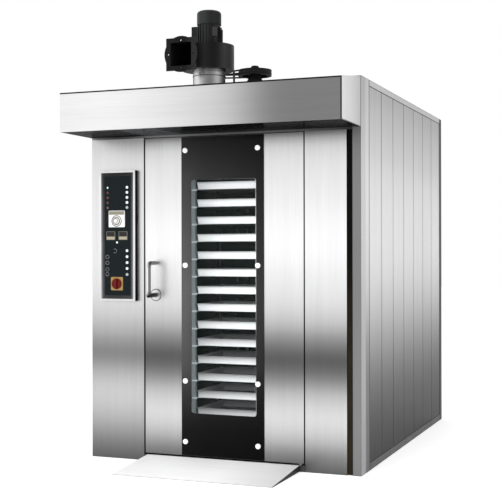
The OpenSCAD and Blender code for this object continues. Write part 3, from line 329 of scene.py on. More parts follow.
class Sheet:
    """A material or world being laid out: it makes nodes, sets their values and links them."""

    def __init__(self, owner: bpy.types.Material | bpy.types.World) -> None:
        """Starts on the nodes of its owner."""
        owner.use_nodes = True
        self.owner = owner
        self.nodes = owner.node_tree.nodes
        self.surface = self.nodes.get("Principled BSDF")
        self.faces: dict[Axis, Socket] = {}

    def put(self, node: Node, inputs: dict[int | str, object]) -> Node:
        """Fills a node's inputs: a socket is linked, and anything else becomes the input's value."""
        for key, value in inputs.items():
            if isinstance(value, Socket):
                self.owner.node_tree.links.new(value, node.inputs[key])
            else:
                node.inputs[key].default_value = value
        return node

    def add(self, kind: str, inputs: dict[int | str, object] | None = None, **settings: object) -> Node:
        """Adds a node.

        Args:
            kind: Blender's name of the shader node's type.
            inputs: Sockets to link or values to set, by input.
            settings: Properties of the node.

        Returns:
            The node.
        """
        node = self.nodes.new(f"ShaderNode{kind}")
        for key, value in settings.items():
            setattr(node, key, value)
        return self.put(node, inputs or {})

    def math(self, operation: str, *inputs: Socket | float) -> Socket:
        """Result of a sum on numbers."""
        return self.add("Math", dict(enumerate(inputs)), operation=operation).outputs[0]

    @cached_property
    def place(self) -> bpy.types.bpy_prop_collection:
        """Outputs of the Texture Coordinate node, made once."""
        return self.add("TexCoord").outputs

    @cached_property
    def along(self) -> bpy.types.bpy_prop_collection:
        """Place on the object along X, Y and Z, in metres."""
        return self.add("SeparateXYZ", {0: self.place["Object"]}).outputs

    @cached_property
    def normal(self) -> bpy.types.bpy_prop_collection:
        """Direction of the surface along X, Y and Z."""
        return self.add("SeparateXYZ", {0: self.place["Normal"]}).outputs

    def noise(self, scale: Point, detail: float) -> Socket:
        """Noise around 0.5 on Object coordinates, with its cycles per metre along each axis and its octaves."""
        mapping = self.add("Mapping", {"Vector": self.place["Object"], "Scale": scale})
        inputs = {"Vector": mapping.outputs[0], "Scale": 1.0, "Detail": detail, "Roughness": 0.5}
        return self.add("TexNoise", inputs).outputs["Fac"]

    def between(self, value: Socket, low: float, high: float, start: float = 0.0, end: float = 1.0) -> Socket:
        """Maps a value from low and high to start and end, and holds it there outside."""
        return self.add("MapRange", {0: value, 1: low, 2: high, 3: start, 4: end}).outputs[0]

    def spread(self, noise: Socket, low: float, high: float) -> Socket:
        """Maps noise between 0.3 and 0.7 to low and high."""
        return self.between(noise, 0.3, 0.7, low, high)

    def scaled(self, colour: Socket, factor: Socket) -> Socket:
        """Multiplies a colour by a number."""
        return self.add("VectorMath", {0: colour, "Scale": factor}, operation="SCALE").outputs[0]

    def shaded(self, colour: Socket, shade: Tones) -> Socket:
        """Multiplies a colour by tones."""
        return self.add("VectorMath", {0: colour, 1: self.tone(shade)}, operation="MULTIPLY").outputs[0]

    def facing(self, axis: Axis) -> Socket:
        """Near 1 on faces that look along an axis, either way, and 0 on the others."""
        if axis not in self.faces:
            size = self.math("ABSOLUTE", self.normal[axis.value])
            self.faces[axis] = self.between(size, 0.45, 0.75)
        return self.faces[axis]

    def tone(self, tones: Tones, tint: Colour = UNTINTED) -> Socket:
        """Colour by place: the tones' grey times a tint.

        Args:
            tones: Greys along a direction.
            tint: Display colour at full brightness.

        Returns:
            The colour.
        """
        if len(tones.stops) == 1:
            plain = self.add("RGB").outputs[0]
            plain.default_value = linear(tint, tones.stops[0][1])
            return plain
        value = self.along[tones.axis.value]
        if tones.pitch:
            value = self.math("FLOORED_MODULO", self.math("SUBTRACT", value, tones.start), tones.pitch)
        low, high = tones.stops[0][0], tones.stops[-1][0]
        node = self.add("ValToRGB", {0: self.between(value, low, high)})
        node.color_ramp.interpolation = "B_SPLINE" if len(tones.stops) > 4 else "LINEAR"
        bands = node.color_ramp.elements
        while len(bands) < len(tones.stops):
            bands.new(1.0)
        for band, (position, grey) in zip(bands, tones.stops):
            band.position = (position - low) / (high - low)
            band.color = linear(tint, grey)
        return node.outputs[0]

    def mixed(self, weight: Socket, colour: Socket, tones: Tones, tint: Colour) -> Socket:
        """Lays tones over a colour where the weight is 1.

        Args:
            weight: Share of the tones.
            colour: Colour below.
            tones: Tones above.
            tint: Display colour at full brightness.

        Returns:
            The colour.
        """
        above = linear(tint, tones.stops[0][1]) if len(tones.stops) == 1 else self.tone(tones, tint)
        return self.add("Mix", data_type="RGBA", inputs={0: weight, 6: colour, 7: above}).outputs[2]

    def bump(self, value: Socket, depth: float, strength: float) -> None:
        """Raises the surface by a value between 0 and 1, where 1 is the depth in metres."""
        node = self.add("Bump", {"Distance": depth, "Strength": strength, "Height": value})
        self.put(self.surface, {"Normal": node.outputs["Normal"]})


@dataclass(frozen=True)
class Zone:
    """Part of a sheet with tones of its own, such as a painted edge highlight or the painted shade under the hood.

    Args:
        tones: Tones inside the zone.
        x: Reach along X; a side at -OPEN or OPEN has no end.
        y: Reach along Y.
        z: Reach along Z.
        facing: Direction of the faces that it covers, or None for all.
        soft: Length over which it fades in.
    """

    tones: Tones
    x: Span = ANYWHERE
    y: Span = ANYWHERE
    z: Span = ANYWHERE
    facing: Axis | None = Axis.Y
    soft: float = 0.0006

    def weight(self, sheet: Sheet) -> Socket:
        """Share of the zone at each place: the product of a short slope at each of its sides.

        Args:
            sheet: The material.

        Returns:
            1 inside and 0 outside.
        """
        slopes = []
        for place, (low, high) in zip(sheet.along, (self.x, self.y, self.z)):
            if low > -OPEN:
                slopes.append(sheet.between(place, low - self.soft, low + self.soft))
            if high < OPEN:
                slopes.append(sheet.between(place, high - self.soft, high + self.soft, 1.0, 0.0))
        if self.facing is not None:
            slopes.append(sheet.facing(self.facing))
        total, *others = slopes
        for slope in others:
            total = sheet.math("MULTIPLY", total, slope)
        return total


@dataclass(frozen=True)
class BrushedSteel:
    """Stainless steel with a fine grain: long streaks of different grey and gloss, and a shallow relief.

    Args:
        name: Name of the material.
        front: Painted greys of the faces that look to the front or the back.
        side: Painted greys of the faces that look sideways, shaded apart from the front.
        flat: Painted greys of the faces that look up or down.
        zones: Parts with tones of their own, laid one over the other.
        tint: Colour of the metal at full brightness.
        grain: Direction of the grain.
        rough: Roughness.
        streak: Difference between light and dark streaks.
        metal: Share of mirror-like metal; the rest is dull.
        rim: Strength of the reflection at a glancing angle.
        shades: Tones that the colour is multiplied by.
    """

    name: str
    front: Tones
    side: Tones
    flat: Tones
    zones: tuple[Zone, ...] = ()
    tint: Colour = UNTINTED
    grain: Axis = Axis.Z
    rough: float = 0.34
    streak: float = 0.05
    metal: float = 1.0
    rim: float = 1.0
    shades: tuple[Tones, ...] = ()

    def lay(self, sheet: Sheet) -> None:
        """Lays the finish out on a new material."""
        colour = sheet.tone(self.side, self.tint)
        colour = sheet.mixed(sheet.facing(Axis.Y), colour, self.front, self.tint)
        colour = sheet.mixed(sheet.facing(Axis.Z), colour, self.flat, self.tint)
        for zone in self.zones:
            colour = sheet.mixed(zone.weight(sheet), colour, zone.tones, self.tint)
        for shade in self.shades:
            colour = sheet.shaded(colour, shade)
        fine = sheet.noise(tuple(3.0 if axis is self.grain else 420.0 for axis in Axis), 2.0)
        wide = sheet.noise(tuple(0.8 if axis is self.grain else 26.0 for axis in Axis), 3.0)
        for source, share in ((fine, self.streak), (wide, self.streak * 0.7)):
            colour = sheet.scaled(colour, sheet.spread(source, 1 - share, 1 + share * 0.5))
        sheet.bump(fine, 0.00004, 0.5)
        sheet.put(sheet.surface, {
            "Base Color": colour, "Roughness": sheet.spread(fine, self.rough - 0.05, self.rough + 0.05),
            "Metallic": self.metal, "Specular IOR Level": 0.25, "Specular Tint": (self.rim,) * 3 + (1.0,),
        })


@dataclass(frozen=True)
class Coat:
    """A paint, plastic, rubber, casting or coated glass: a colour with mottling, and a relief of its own.

    Args:
        name: Name of the material.
        colour: Display colour.
        rough: Roughness.
        mottle: Difference in brightness across the surface.
        relief: Depth of the surface's relief in metres.
        grain: Reliefs per metre.
        metal: 1 for a bare metal.
        clear: Weight of a clear glossy top coat.
        gloss: Strength of the reflection, 0.5 for a plain plastic.
        top_lightening: Lighter share on faces that look up.
        shades: Tones that the colour is multiplied by.
    """

    name: str
    colour: Colour
    rough: float = 0.4
    mottle: float = 0.06
    relief: float = 0.00005
    grain: float = 350.0
    metal: float = 0.0
    clear: float = 0.0
    gloss: float = 0.4
    top_lightening: float = 0.0
    shades: tuple[Tones, ...] = ()

    def lay(self, sheet: Sheet) -> None:
        """Lays the finish out on a new material."""
        fine = sheet.noise((self.grain,) * 3, 3.0)
        wide = sheet.noise((9.0,) * 3, 4.0)
        first, *others = self.shades or (even(1.0),)
        colour = sheet.tone(first, self.colour)
        for shade in others:
            colour = sheet.shaded(colour, shade)
        for source, share in ((wide, self.mottle), (fine, self.mottle * 0.5)):
            colour = sheet.scaled(colour, sheet.spread(source, 1 - share, 1 + share))
        # Faces that look up are mixed towards a light warm grey.
        if self.top_lightening:
            weight = sheet.between(sheet.normal[2], 0.3, 1.0, 0.0, self.top_lightening)
            inputs = {0: weight, 6: colour, 7: (0.35, 0.34, 0.32, 1.0)}
            colour = sheet.add("Mix", data_type="RGBA", inputs=inputs).outputs[2]
        sheet.bump(fine, self.relief, 0.6)
        sheet.put(sheet.surface, {
            "Base Color": colour, "Metallic": self.metal, "Specular IOR Level": self.gloss,
            "Roughness": sheet.spread(wide, max(self.rough - 0.06, 0.02), self.rough + 0.06),
            "Coat Weight": self.clear, "Coat Roughness": 0.06,
        })


@dataclass(frozen=True)
class ClearGlass:
    """Thin clear glass: mostly see-through, with a faint tint and a sharp reflection.

    Args:
        name: Name of the material.
        tint: Display colour of what the glass holds back.
        cover: Share that the glass holds back.
    """

    name: str
    tint: Colour = (0.1, 0.14, 0.13)
    cover: float = 0.08

    def lay(self, sheet: Sheet) -> None:
        """Lays the finish out on a new material."""
        smear = sheet.spread(sheet.noise((7.0, 7.0, 2.0), 3.0), 0.02, 0.05)
        sheet.put(sheet.surface, {
            "Base Color": linear(self.tint), "Roughness": smear, "Alpha": self.cover, "IOR": 1.5,
        })


Finish = BrushedSteel | Coat | ClearGlass


@cache
def material_of(finish: Finish) -> bpy.types.Material:
    """The material of a finish, made the first time it is asked for."""
    material = bpy.data.materials.new(finish.name)
    finish.lay(Sheet(material))
    return material


# Painted reflection bands of the front steel up its height, and painted shade under the hood at the top.
FRONT_TONES = Tones(Axis.Z, (
    (-0.02, 0.35), (0.09, 0.52), (0.17, 0.71), (0.255, 0.81), (0.33, 0.81), (0.42, 0.71), (0.50, 0.50),
    (0.58, 0.35), (0.65, 0.36), (0.74, 0.58), (0.82, 0.76), (0.93, 0.88), (1.07, 0.94), (1.2, 1.0), (1.33, 1.0),
    (1.45, 0.97), (1.62, 0.93), (1.78, 0.91), (1.83, 0.83), (1.855, 0.60), (1.87, 0.52),
))
# Painted reflection bands of the left column.
LEFT_TONES = Tones(Axis.Z, (
    (-0.02, 0.36), (0.085, 0.47), (0.173, 0.60), (0.262, 0.70), (0.35, 0.765), (0.44, 0.755), (0.527, 0.63),
    (0.60, 0.50), (0.66, 0.54), (0.74, 0.67), (0.84, 0.80), (0.97, 0.89), (1.15, 0.94), (1.35, 0.95), (1.6, 0.92),
    (1.76, 0.90), (1.87, 0.81),
))
# Painted reflection gradient of the side walls, darkest near the floor.
SIDE_TONES = Tones(Axis.Z, (
    (0.0, 0.25), (0.12, 0.29), (0.25, 0.34), (0.40, 0.43), (0.55, 0.56), (0.70, 0.71), (0.85, 0.84), (1.02, 0.94),
    (1.2, 0.99), (1.4, 0.99), (1.6, 0.96), (1.75, 0.90), (2.0, 0.79), (2.15, 0.72),
))
# Painted reflection gradient of the corner posts' sides.
POST_SIDE_TONES = Tones(Axis.Z, (
    (0.0, 0.48), (0.5, 0.53), (0.70, 0.66), (0.85, 0.79), (1.02, 0.90), (1.3, 0.96), (1.6, 0.96), (1.8, 0.90),
    (2.15, 0.80),
))
# Painted highlight on the front strip of a corner post's side.
EDGE_TONES = Tones(Axis.Z, ((0.0, 0.72), (0.7, 0.76), (1.1, 0.88), (1.6, 0.90), (1.85, 0.82), (2.15, 0.72)))
# Painted reflection gradient across the hood's front, light at the left and darker to the right.
HOOD_TONES = Tones(Axis.X, (
    (-0.82, 0.95), (-0.63, 0.97), (-0.44, 0.96), (-0.26, 0.93), (-0.08, 0.89), (0.095, 0.83), (0.21, 0.78),
    (0.345, 0.61), (0.46, 0.51), (0.6, 0.50), (0.82, 0.505),
))
# Painted reflection gradient along the hood's sides.
HOOD_SIDE_TONES = Tones(Axis.Y, ((-0.91, 0.87), (-0.75, 0.82), (-0.55, 0.70)))
# Painted shade and painted reflections of the columns and the door in the hood's underside.
UNDER_TONES = Tones(Axis.X, (
    (-0.82, 0.16), (-0.77, 0.06), (-0.72, 0.01), (-0.62, 0.05), (-0.475, 0.20), (-0.455, 0.80), (-0.25, 0.78),
    (-0.225, 0.44), (0.0, 0.40), (0.15, 0.32), (0.27, 0.46), (0.42, 0.35), (0.52, 0.30), (0.62, 0.44),
    (0.70, 0.52), (0.82, 0.50),
))
# Painted shade under the hood on the strip of the front header.
HEADER_TONES = Tones(Axis.X, (
    (-0.80, 0.64), (-0.68, 0.34), (-0.56, 0.44), (-0.46, 0.60), (-0.2, 0.60), (-0.10, 0.50), (0.16, 0.50),
    (0.28, 0.54), (0.42, 0.50), (0.52, 0.46), (0.64, 0.42), (0.76, 0.30),
))
# Painted highlight bands round the duct collar.
COLLAR_TONES = Tones(Axis.X, (
    (-0.091, 0.20), (-0.080, 0.45), (-0.062, 0.88), (-0.035, 1.0), (-0.012, 0.78), (0.012, 0.54), (0.042, 0.42),
    (0.060, 0.60), (0.074, 0.76), (0.084, 0.42), (0.091, 0.15),
))
# Painted highlight on each tray's front lip and painted shade below it, repeated at the tray pitch.
TRAY_PITCH, TRAY_START = 0.1045, 0.2215
TRAY_TONES, LOW_TRAY_TONES = (
    Tones(Axis.Z, stops, TRAY_PITCH, TRAY_START) for stops in (
        ((0.0, 0.93), (0.012, 0.97), (0.028, 0.96), (0.036, 0.90), (0.0405, 0.72), (TRAY_PITCH, 0.72)),
        ((0.0, 0.92), (0.010, 0.88), (0.024, 0.78), (0.036, 0.62), (0.0405, 0.52), (TRAY_PITCH, 0.5)),
    )
)
# Painted shade along each seam of the wall panels.
PANEL_EDGE = 0.0085
PANEL_FRONT = -0.38
SIDE_PITCH = (1.53 - PANEL_FRONT) / 7
PANEL_EDGE_TONES = Tones(
    Axis.Y, ((0.0, 0.34), (PANEL_EDGE, 0.34), (PANEL_EDGE + 0.0010, 1.0), (SIDE_PITCH, 1.0)),
    SIDE_PITCH, PANEL_FRONT - PANEL_EDGE * 0.5,
)
# Dark grey for painted shade in the gaps beside the door, and for a dark band at the side panels' foot.
SEAM_GREY = even(0.06)
HOOD_SHADE_TOP = 1.866

# Front steel: painted reflection bands, lit and shaded greys by facing, and painted shade in the door gaps.
FRONT_STEEL = BrushedSteel("brushed_front_steel", FRONT_TONES, SIDE_TONES, even(0.8), (
    Zone(LEFT_TONES, x=(-OPEN, -0.45)),
    Zone(SEAM_GREY, x=(-0.4790, -0.45), z=(-OPEN, HOOD_SHADE_TOP)),
    Zone(SEAM_GREY, x=(0.499, 0.5022), z=(-OPEN, HOOD_SHADE_TOP)),
))
# Door steel: the painted reflection bands, with its edges painted dark as shade in the gap round the door.
DOOR_STEEL = BrushedSteel("brushed_door_steel", FRONT_TONES, even(0.12), even(0.7), (
    Zone(SEAM_GREY, x=(-OPEN, -0.4695), y=(-OPEN, -0.530)),
    Zone(SEAM_GREY, x=(0.4945, OPEN), y=(-OPEN, -0.530)),
))
# Front header: painted shade under the hood.
HEADER_STEEL = BrushedSteel("brushed_header_steel", HEADER_TONES, even(0.5), even(0.4), grain=Axis.X)
# Darker bands at the side panels' foot and top.
PANEL_ZONES = (
    Zone(SEAM_GREY, z=(-OPEN, 0.0425), facing=Axis.X, soft=0.001),
    Zone(even(0.26), z=(2.1140, OPEN), facing=Axis.X, soft=0.001),
)
# Wall and roof panels: painted reflection gradient; the wall panels add painted shade along their seams.
PANEL_STEEL = BrushedSteel(
    "brushed_panel_steel", SIDE_TONES, SIDE_TONES, even(0.7), PANEL_ZONES, metal=0.75, rim=0.55,
)
WALL_STEEL = BrushedSteel(
    "brushed_wall_steel", SIDE_TONES, SIDE_TONES, even(0.7), PANEL_ZONES, metal=0.75, rim=0.55,
    shades=(PANEL_EDGE_TONES,),
)
# Corner posts: a painted reflection gradient and a painted highlight strip on the sides, painted shade
# on the front face and on the part inside the recess, and dark strips at the seam and the rear edge.
POST_STEEL = BrushedSteel("brushed_post_steel", even(0.50), POST_SIDE_TONES, even(0.6), (
    Zone(EDGE_TONES, y=(-OPEN, -0.462), facing=Axis.X, soft=0.003),
    Zone(even(0.18), y=(-0.3900, -0.3780), facing=Axis.X),
    Zone(even(0.24), y=(1.5275, OPEN), facing=Axis.X),
    Zone(even(0.22), x=(-OPEN, 0.7725)),
), metal=0.8, rim=0.6)
# Hood: painted reflection gradients on the front and the sides; darker strips at the top edge, the right
# end, the foot of the sides and the back of the sides.
HOOD_STEEL = BrushedSteel("brushed_hood_steel", HOOD_TONES, HOOD_SIDE_TONES, even(0.75), (
    Zone(even(0.12), z=(2.0872, OPEN)),
    Zone(even(0.13), x=(0.8125, OPEN)),
    Zone(even(0.55), z=(-OPEN, 1.8795), facing=Axis.X),
    Zone(even(0.22), y=(-0.5620, OPEN), facing=Axis.X),
), grain=Axis.X)
# Hood underside: painted shade and painted reflections of the columns and the door.
UNDER_STEEL = BrushedSteel(
    "dark_hood_underside", even(0.3), even(0.3), UNDER_TONES, tint=(0.97, 0.98, 1.0), grain=Axis.X, rough=0.26,
    rim=0.10,
)
# Ramp: a painted gradient on its top, lighter at the left, darker strips at the top's ends, and its sides
# painted near black as shade.
RAMP_TONES = Tones(Axis.X, ((-0.6, 0.97), (0.10, 1.0), (0.30, 0.93), (0.45, 0.86)))
RAMP_STEEL = BrushedSteel("ramp_steel", even(0.72), even(0.10), RAMP_TONES, (
    Zone(even(0.45), x=(-OPEN, -0.4775), facing=Axis.Z), Zone(even(0.45), x=(0.4975, OPEN), facing=Axis.Z),
), grain=Axis.X, rough=0.5, streak=0.03, metal=0.1)
# Chamber liner: painted dark as the shade inside the chamber, lighter towards the top, with a teal tint.
LINER_STEEL = BrushedSteel(
    "baked_liner_steel", Tones(Axis.Z, ((0.0, 0.14), (1.9, 0.24))), Tones(Axis.Z, ((0.0, 0.12), (1.9, 0.21))),
    even(0.2), tint=(0.80, 1.0, 0.98), rough=0.45, streak=0.12,
)
FLOOR_STEEL = BrushedSteel("floor_steel", even(0.4), even(0.4), even(0.45), grain=Axis.X, rough=0.4)
# Rack: lit and shaded greys by facing, painted shade towards the back of the chamber, and a painted
# highlight on its foremost front faces.
RACK_STEEL = BrushedSteel("rack_tube_steel", even(0.66), even(0.58), even(0.5), (
    Zone(even(0.12), y=(0.0, OPEN), facing=None, soft=0.12), Zone(even(0.95), y=(-OPEN, -0.2002), soft=0.0001),
), tint=(0.93, 0.99, 1.0), rough=0.4, metal=0.3)
# Trays: lit and shaded greys by facing, and deeper painted shade on the trays below 0.75 m.
TRAY_METAL = BrushedSteel(
    "tray_aluminium", TRAY_TONES, even(0.75), even(0.45), (Zone(LOW_TRAY_TONES, z=(-OPEN, 0.75), soft=0.12),),
    tint=(0.98, 0.995, 1.0), grain=Axis.X, rough=0.5, streak=0.04, metal=0.1,
)
# Control bezel: painted reflection gradient on its front, and painted shade on its sides.
BEZEL_TONES = Tones(Axis.Z, ((0.92, 0.90), (1.2, 0.97), (1.6, 0.97), (1.68, 0.88)))
BEZEL_STEEL = BrushedSteel("bright_bezel_steel", BEZEL_TONES, even(0.20), even(0.35), rough=0.25, rim=0.3)
# Hood hem: painted near white as a highlight along the hood's lower lip.
HEM_STEEL = BrushedSteel("bright_hem_steel", even(0.97), even(0.7), even(0.9), grain=Axis.X, rough=0.25)
SHAFT_STEEL = BrushedSteel(
    "turned_shaft_steel", even(0.5), even(0.5), even(0.5), (Zone(even(0.22), z=(2.140, OPEN), facing=None),),
    rough=0.3,
)
# Collar: the painted highlight bands, and a thin painted shade line round it in place of a bead.
COLLAR_STEEL = BrushedSteel(
    "spun_collar_steel", COLLAR_TONES, COLLAR_TONES, even(0.7), grain=Axis.X, streak=0.02, metal=0.85, rim=0.25,
    shades=(Tones(Axis.Z, ((2.1620, 1.0), (2.1637, 0.70), (2.1653, 0.70), (2.167, 1.0))),),
)

# Painted reflection in the black coated glass: lightest at mid height, darker at the foot, the top and the right.
GLASS_HEIGHT_TONES = Tones(Axis.Z, (
    (0.05, 0.06), (0.20, 0.06), (0.32, 0.14), (0.44, 0.20), (0.56, 0.28), (0.80, 0.32), (0.98, 0.345),
    (1.16, 0.31), (1.40, 0.27), (1.64, 0.22), (1.76, 0.185), (1.86, 0.15),
))
GLASS_WIDTH_TONES = Tones(Axis.X, ((-0.24, 0.98), (-0.1, 0.80), (0.254, 0.55)))
# Painted highlights across the blower casing, also laid on the motor's ribs.
CASING_SHADES = Tones(Axis.X, (
    (-0.135, 0.09), (-0.07, 0.02), (-0.035, 0.11), (0.0, 0.15), (0.035, 0.09), (0.07, 0.02), (0.10, 0.08),
    (0.120, 0.22), (0.135, 0.03),
))
# Painted highlights across the motor cowl.
COWL_SHADES = Tones(Axis.X, (
    (-0.065, 0.08), (-0.052, 0.26), (-0.03, 0.16), (0.0, 0.20), (0.03, 0.08), (0.055, 0.15), (0.065, 0.03),
))
# Painted shade in the recess beside the right column, darkest at the top under the hood.
RECESS_SHADES = Tones(Axis.Z, ((0.0, 0.17), (0.7, 0.13), (1.2, 0.04), (1.9, 0.02)))
# Painted highlight down the handle's grip, with painted shade towards its ends.
GRIP_SHADES = (
    Tones(Axis.X, ((-0.412, 0.20), (-0.4095, 0.50), (-0.406, 1.0), (-0.4015, 1.0), (-0.397, 0.50), (-0.391, 0.34),
                   (-0.386, 0.60))),
    Tones(Axis.Z, ((0.955, 0.35), (0.985, 1.0), (1.11, 1.0), (1.143, 0.72))),
)
# Painted shade on the control bevel: lighter at its outer edges than inwards, lightest at the bottom.
BEVEL_SHADES = (
    Tones(Axis.X, ((-0.745, 0.75), (-0.737, 0.45), (-0.728, 0.22), (-0.55, 0.26), (-0.541, 0.42), (-0.531, 0.72))),
    Tones(Axis.Z, ((0.93, 1.6), (0.95, 1.25), (1.05, 1.0), (1.50, 0.9), (1.668, 0.6))),
)

# Black paint of the casing and the motor's ribs, with their painted highlights.
BLACK_PAINT = Coat(
    "satin_black_paint", UNTINTED, 0.34, 0.12, 0.00008, 260.0, gloss=0.10, top_lightening=0.02, shades=(CASING_SHADES,),
)
# Mid grey of the flange's rim ring and of the data plate.
FLANGE_PAINT = Coat("worn_flange_paint", (0.21, 0.21, 0.21), 0.42, 0.2, 0.0001, 220.0, gloss=0.2)
CAST_BLACK = Coat("black_casting", (0.09, 0.09, 0.09), 0.5, 0.2, 0.00025, 300.0, gloss=0.16, top_lightening=0.03)
# Cowl paint, whose greys are its painted highlights.
COWL_PAINT = Coat(
    "grey_motor_paint", (0.97, 1.0, 1.0), 0.4, 0.1, 0.0001, 240.0, gloss=0.12, top_lightening=0.04, shades=(COWL_SHADES,),
)
MOTOR_PAINT = Coat("gearmotor_paint", (0.30, 0.33, 0.35), 0.4, 0.1, 0.0001, 240.0, top_lightening=0.04)
BASE_PAINT = Coat("base_frame_paint", (0.30, 0.30, 0.31), 0.5, 0.08)
BELT_RUBBER = Coat("belt_rubber", (0.06, 0.06, 0.06), 0.7, 0.15, 0.0002, 400.0, gloss=0.2)
SEAL_RUBBER = Coat("seal_rubber", (0.05, 0.05, 0.05), 0.65, 0.2, 0.0002, 300.0, gloss=0.1)
# Brownish dark of the strip of painted shade in that recess.
RECESS_SHADE = Coat(
    "recess_seal_brown", (1.0, 0.86, 0.62), 0.65, 0.2, 0.0002, 300.0, gloss=0.05, shades=(RECESS_SHADES,),
)
TREAD_RUBBER = Coat("caster_tread", (0.10, 0.10, 0.10), 0.6, 0.1, 0.0002, 300.0)
WOOL = Coat("mineral_wool", (0.78, 0.72, 0.48), 0.95, 0.25, 0.003, 140.0)
CHROME = Coat("polished_chrome", (0.80, 0.81, 0.83), 0.14, 0.04, 0.00001, 200.0, 1.0)
# Chrome of the grip with its painted highlight.
GRIP_CHROME = Coat("grip_chrome", (1.0, 1.0, 1.02), 0.24, 0.04, 0.00001, 200.0, 0.6, shades=GRIP_SHADES)
DARK_CHROME = Coat("dark_hub_chrome", (0.12, 0.125, 0.13), 0.22, 0.06, 0.00002, 200.0, 1.0)
SCREW_STEEL = Coat("screw_steel", (0.72, 0.72, 0.73), 0.28, 0.08, 0.00003, 500.0, 1.0)
# Steel of the control bevel with its painted shade.
BEVEL_DARK = Coat("bevel_steel", (1.0, 1.0, 1.02), 0.25, 0.1, 0.00001, 200.0, 1.0, shades=BEVEL_SHADES)
# Black coated glass with the painted reflection.
BLACK_GLASS = Coat(
    "coated_black_glass", UNTINTED, 0.10, 0.03, 0.000004, 30.0, gloss=0.05,
    shades=(GLASS_HEIGHT_TONES, GLASS_WIDTH_TONES),
)
CAP_WHITE = Coat("white_cap", (0.97, 0.97, 0.97), 0.3, 0.02)
PLATE_BLACK = Coat("control_plate_black", (0.06, 0.085, 0.095), 0.28, 0.06, 0.00001, 200.0, gloss=0.12)
BUTTON_WHITE = Coat("button_white", (0.88, 0.89, 0.89), 0.3, 0.03)
BUTTON_GREY = Coat("button_grey", (0.66, 0.67, 0.68), 0.35, 0.03)
LENS_GREEN = Coat("lens_pale_green", (0.74, 0.88, 0.83), 0.12, 0.03, clear=0.4)
LENS_RED = Coat("lens_red", (0.44, 0.10, 0.09), 0.12, clear=0.3)
LENS_DIM = Coat("lens_dim", (0.42, 0.28, 0.27), 0.15, clear=0.3)
LENS_WHITE = Coat("lens_white", (0.95, 0.95, 0.95), 0.12, 0.03, clear=0.4)
TIMER_WHITE = Coat("timer_ivory", (0.90, 0.90, 0.89), 0.35, 0.03)
TIMER_OLIVE = Coat("timer_strip_olive", (0.50, 0.48, 0.42), 0.4, 0.05)
DIAL_GREY = Coat("dial_ring_grey", (0.24, 0.24, 0.25), 0.35, 0.05)
DISPLAY_DARK = Coat("display_smoke", (0.14, 0.145, 0.14), 0.1, 0.05, gloss=0.2)
DISPLAY_FRAME = Coat("display_frame", (0.38, 0.37, 0.34), 0.35, 0.05)
DISPLAY_BEIGE = Coat("display_strip_beige", (0.60, 0.57, 0.50), 0.4, 0.05)
ICON_GREY = Coat("icon_grey", (0.56, 0.57, 0.58), 0.4, 0.05)
SWITCH_YELLOW = Coat("switch_yellow", (0.58, 0.46, 0.27), 0.35, 0.05)
SWITCH_RED = Coat("switch_red", (0.34, 0.06, 0.045), 0.25, 0.08, gloss=0.2)
WINDOW_GLASS = ClearGlass("window_glass")


# The oven


def middle(node: str) -> Point:
    """Middle of a solid's box."""
    return tuple((a + b) / 2 for a, b in zip(*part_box(node)))


def circle(radius: float, degrees: list[float], centre: Point) -> list[Point]:
    """Points on a level circle, at given angles."""
    x, y, z = centre
    return [(x + radius * math.cos(a), y + radius * math.sin(a), z) for a in np.radians(degrees)]


class Assembly:
    """Common work of the sub-assemblies: dressing the frame's solids and adding pieces.

    The class names its body and its looks: each finish with the solids that it goes on.
    """

    body = "oven"
    looks: tuple[tuple[Finish, str], ...] = ()

    def build(self) -> None:
        """Dresses the solids and adds the pieces."""
        for finish, nodes in self.looks:
            for name in nodes.split():
                mesh = frame["nodes"][name].data
                mesh.materials.clear()
                mesh.materials.append(material_of(finish))
                LOG.info("dressed %s in %s", name, finish.name)
        self.details()

    def details(self) -> None:
        """Adds the sub-assembly's own pieces."""
        raise NotImplementedError

    def add(
        self, name: str, stacks: list[np.ndarray], finish: Finish, slot: str, body: str | None = None,
        replaces: tuple[str, ...] = (), ends: Ends = Ends.CAPPED, smooth_deg: float = 35,
    ) -> None:
        """Makes a piece, finishes it and puts it on its body.

        Args:
            name: Name of the piece.
            stacks: Its rings.
            finish: Its finish.
            slot: The record's material slot; not used.
            body: The body that it rides on, or the sub-assembly's own.
            replaces: Solids that it stands for.
            ends: How each stack of rings is closed.
            smooth_deg: Edges flatter than this are shaded smooth.
        """
        piece = mesh_of(name, stacks, ends, smooth_deg)
        piece.data.materials.append(material_of(finish))
        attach(piece, body or self.body)
        if replaces:
            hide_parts(*replaces)
        LOG.info("added %s, %d faces", piece.name, len(piece.data.polygons))

    def turn(
        self, name: str, profile: np.ndarray | list[list[float]], centres: list[Point], finish: Finish, slot: str,
        sides: int, axis: Axis = Axis.Y, body: str | None = None, replaces: tuple[str, ...] = (),
    ) -> None:
        """Adds a turned shape at each of several places, as one piece.

        A profile that starts on the axis ends on it too, and any other one is a loop.

        Args:
            name: Name of the piece.
            profile: Radius and height of each ring.
            centres: Places of the copies.
            finish: Its finish.
            slot: The record's material slot.
            sides: Points round each ring.
            axis: Direction of the turned shape.
            body: The body that it rides on, or the sub-assembly's own.
            replaces: Solids that it stands for.
        """
        points = np.array(profile)
        ends = Ends.POLES if points[0, 0] == 0 else Ends.LOOP
        stacks = [turned_rings(points, centre, axis, sides) for centre in centres]
        self.add(name, stacks, finish, slot, body, replaces, ends)


@dataclass(frozen=True)
class CabinetSizes:
    """Sizes of the cabinet's trim."""

    screw_radius: float = 0.006
    screw_rise: float = 0.0025
    screw_inset: float = 0.06
    screw_margin: float = 0.03
    screw_columns: int = 7
    post_width: float = 0.05
    shade_strip_gap: float = 0.0004
    shade_strip_front: float = 0.094
    shade_strip_back: float = 0.002
    shade_strip_edge: float = 0.0008


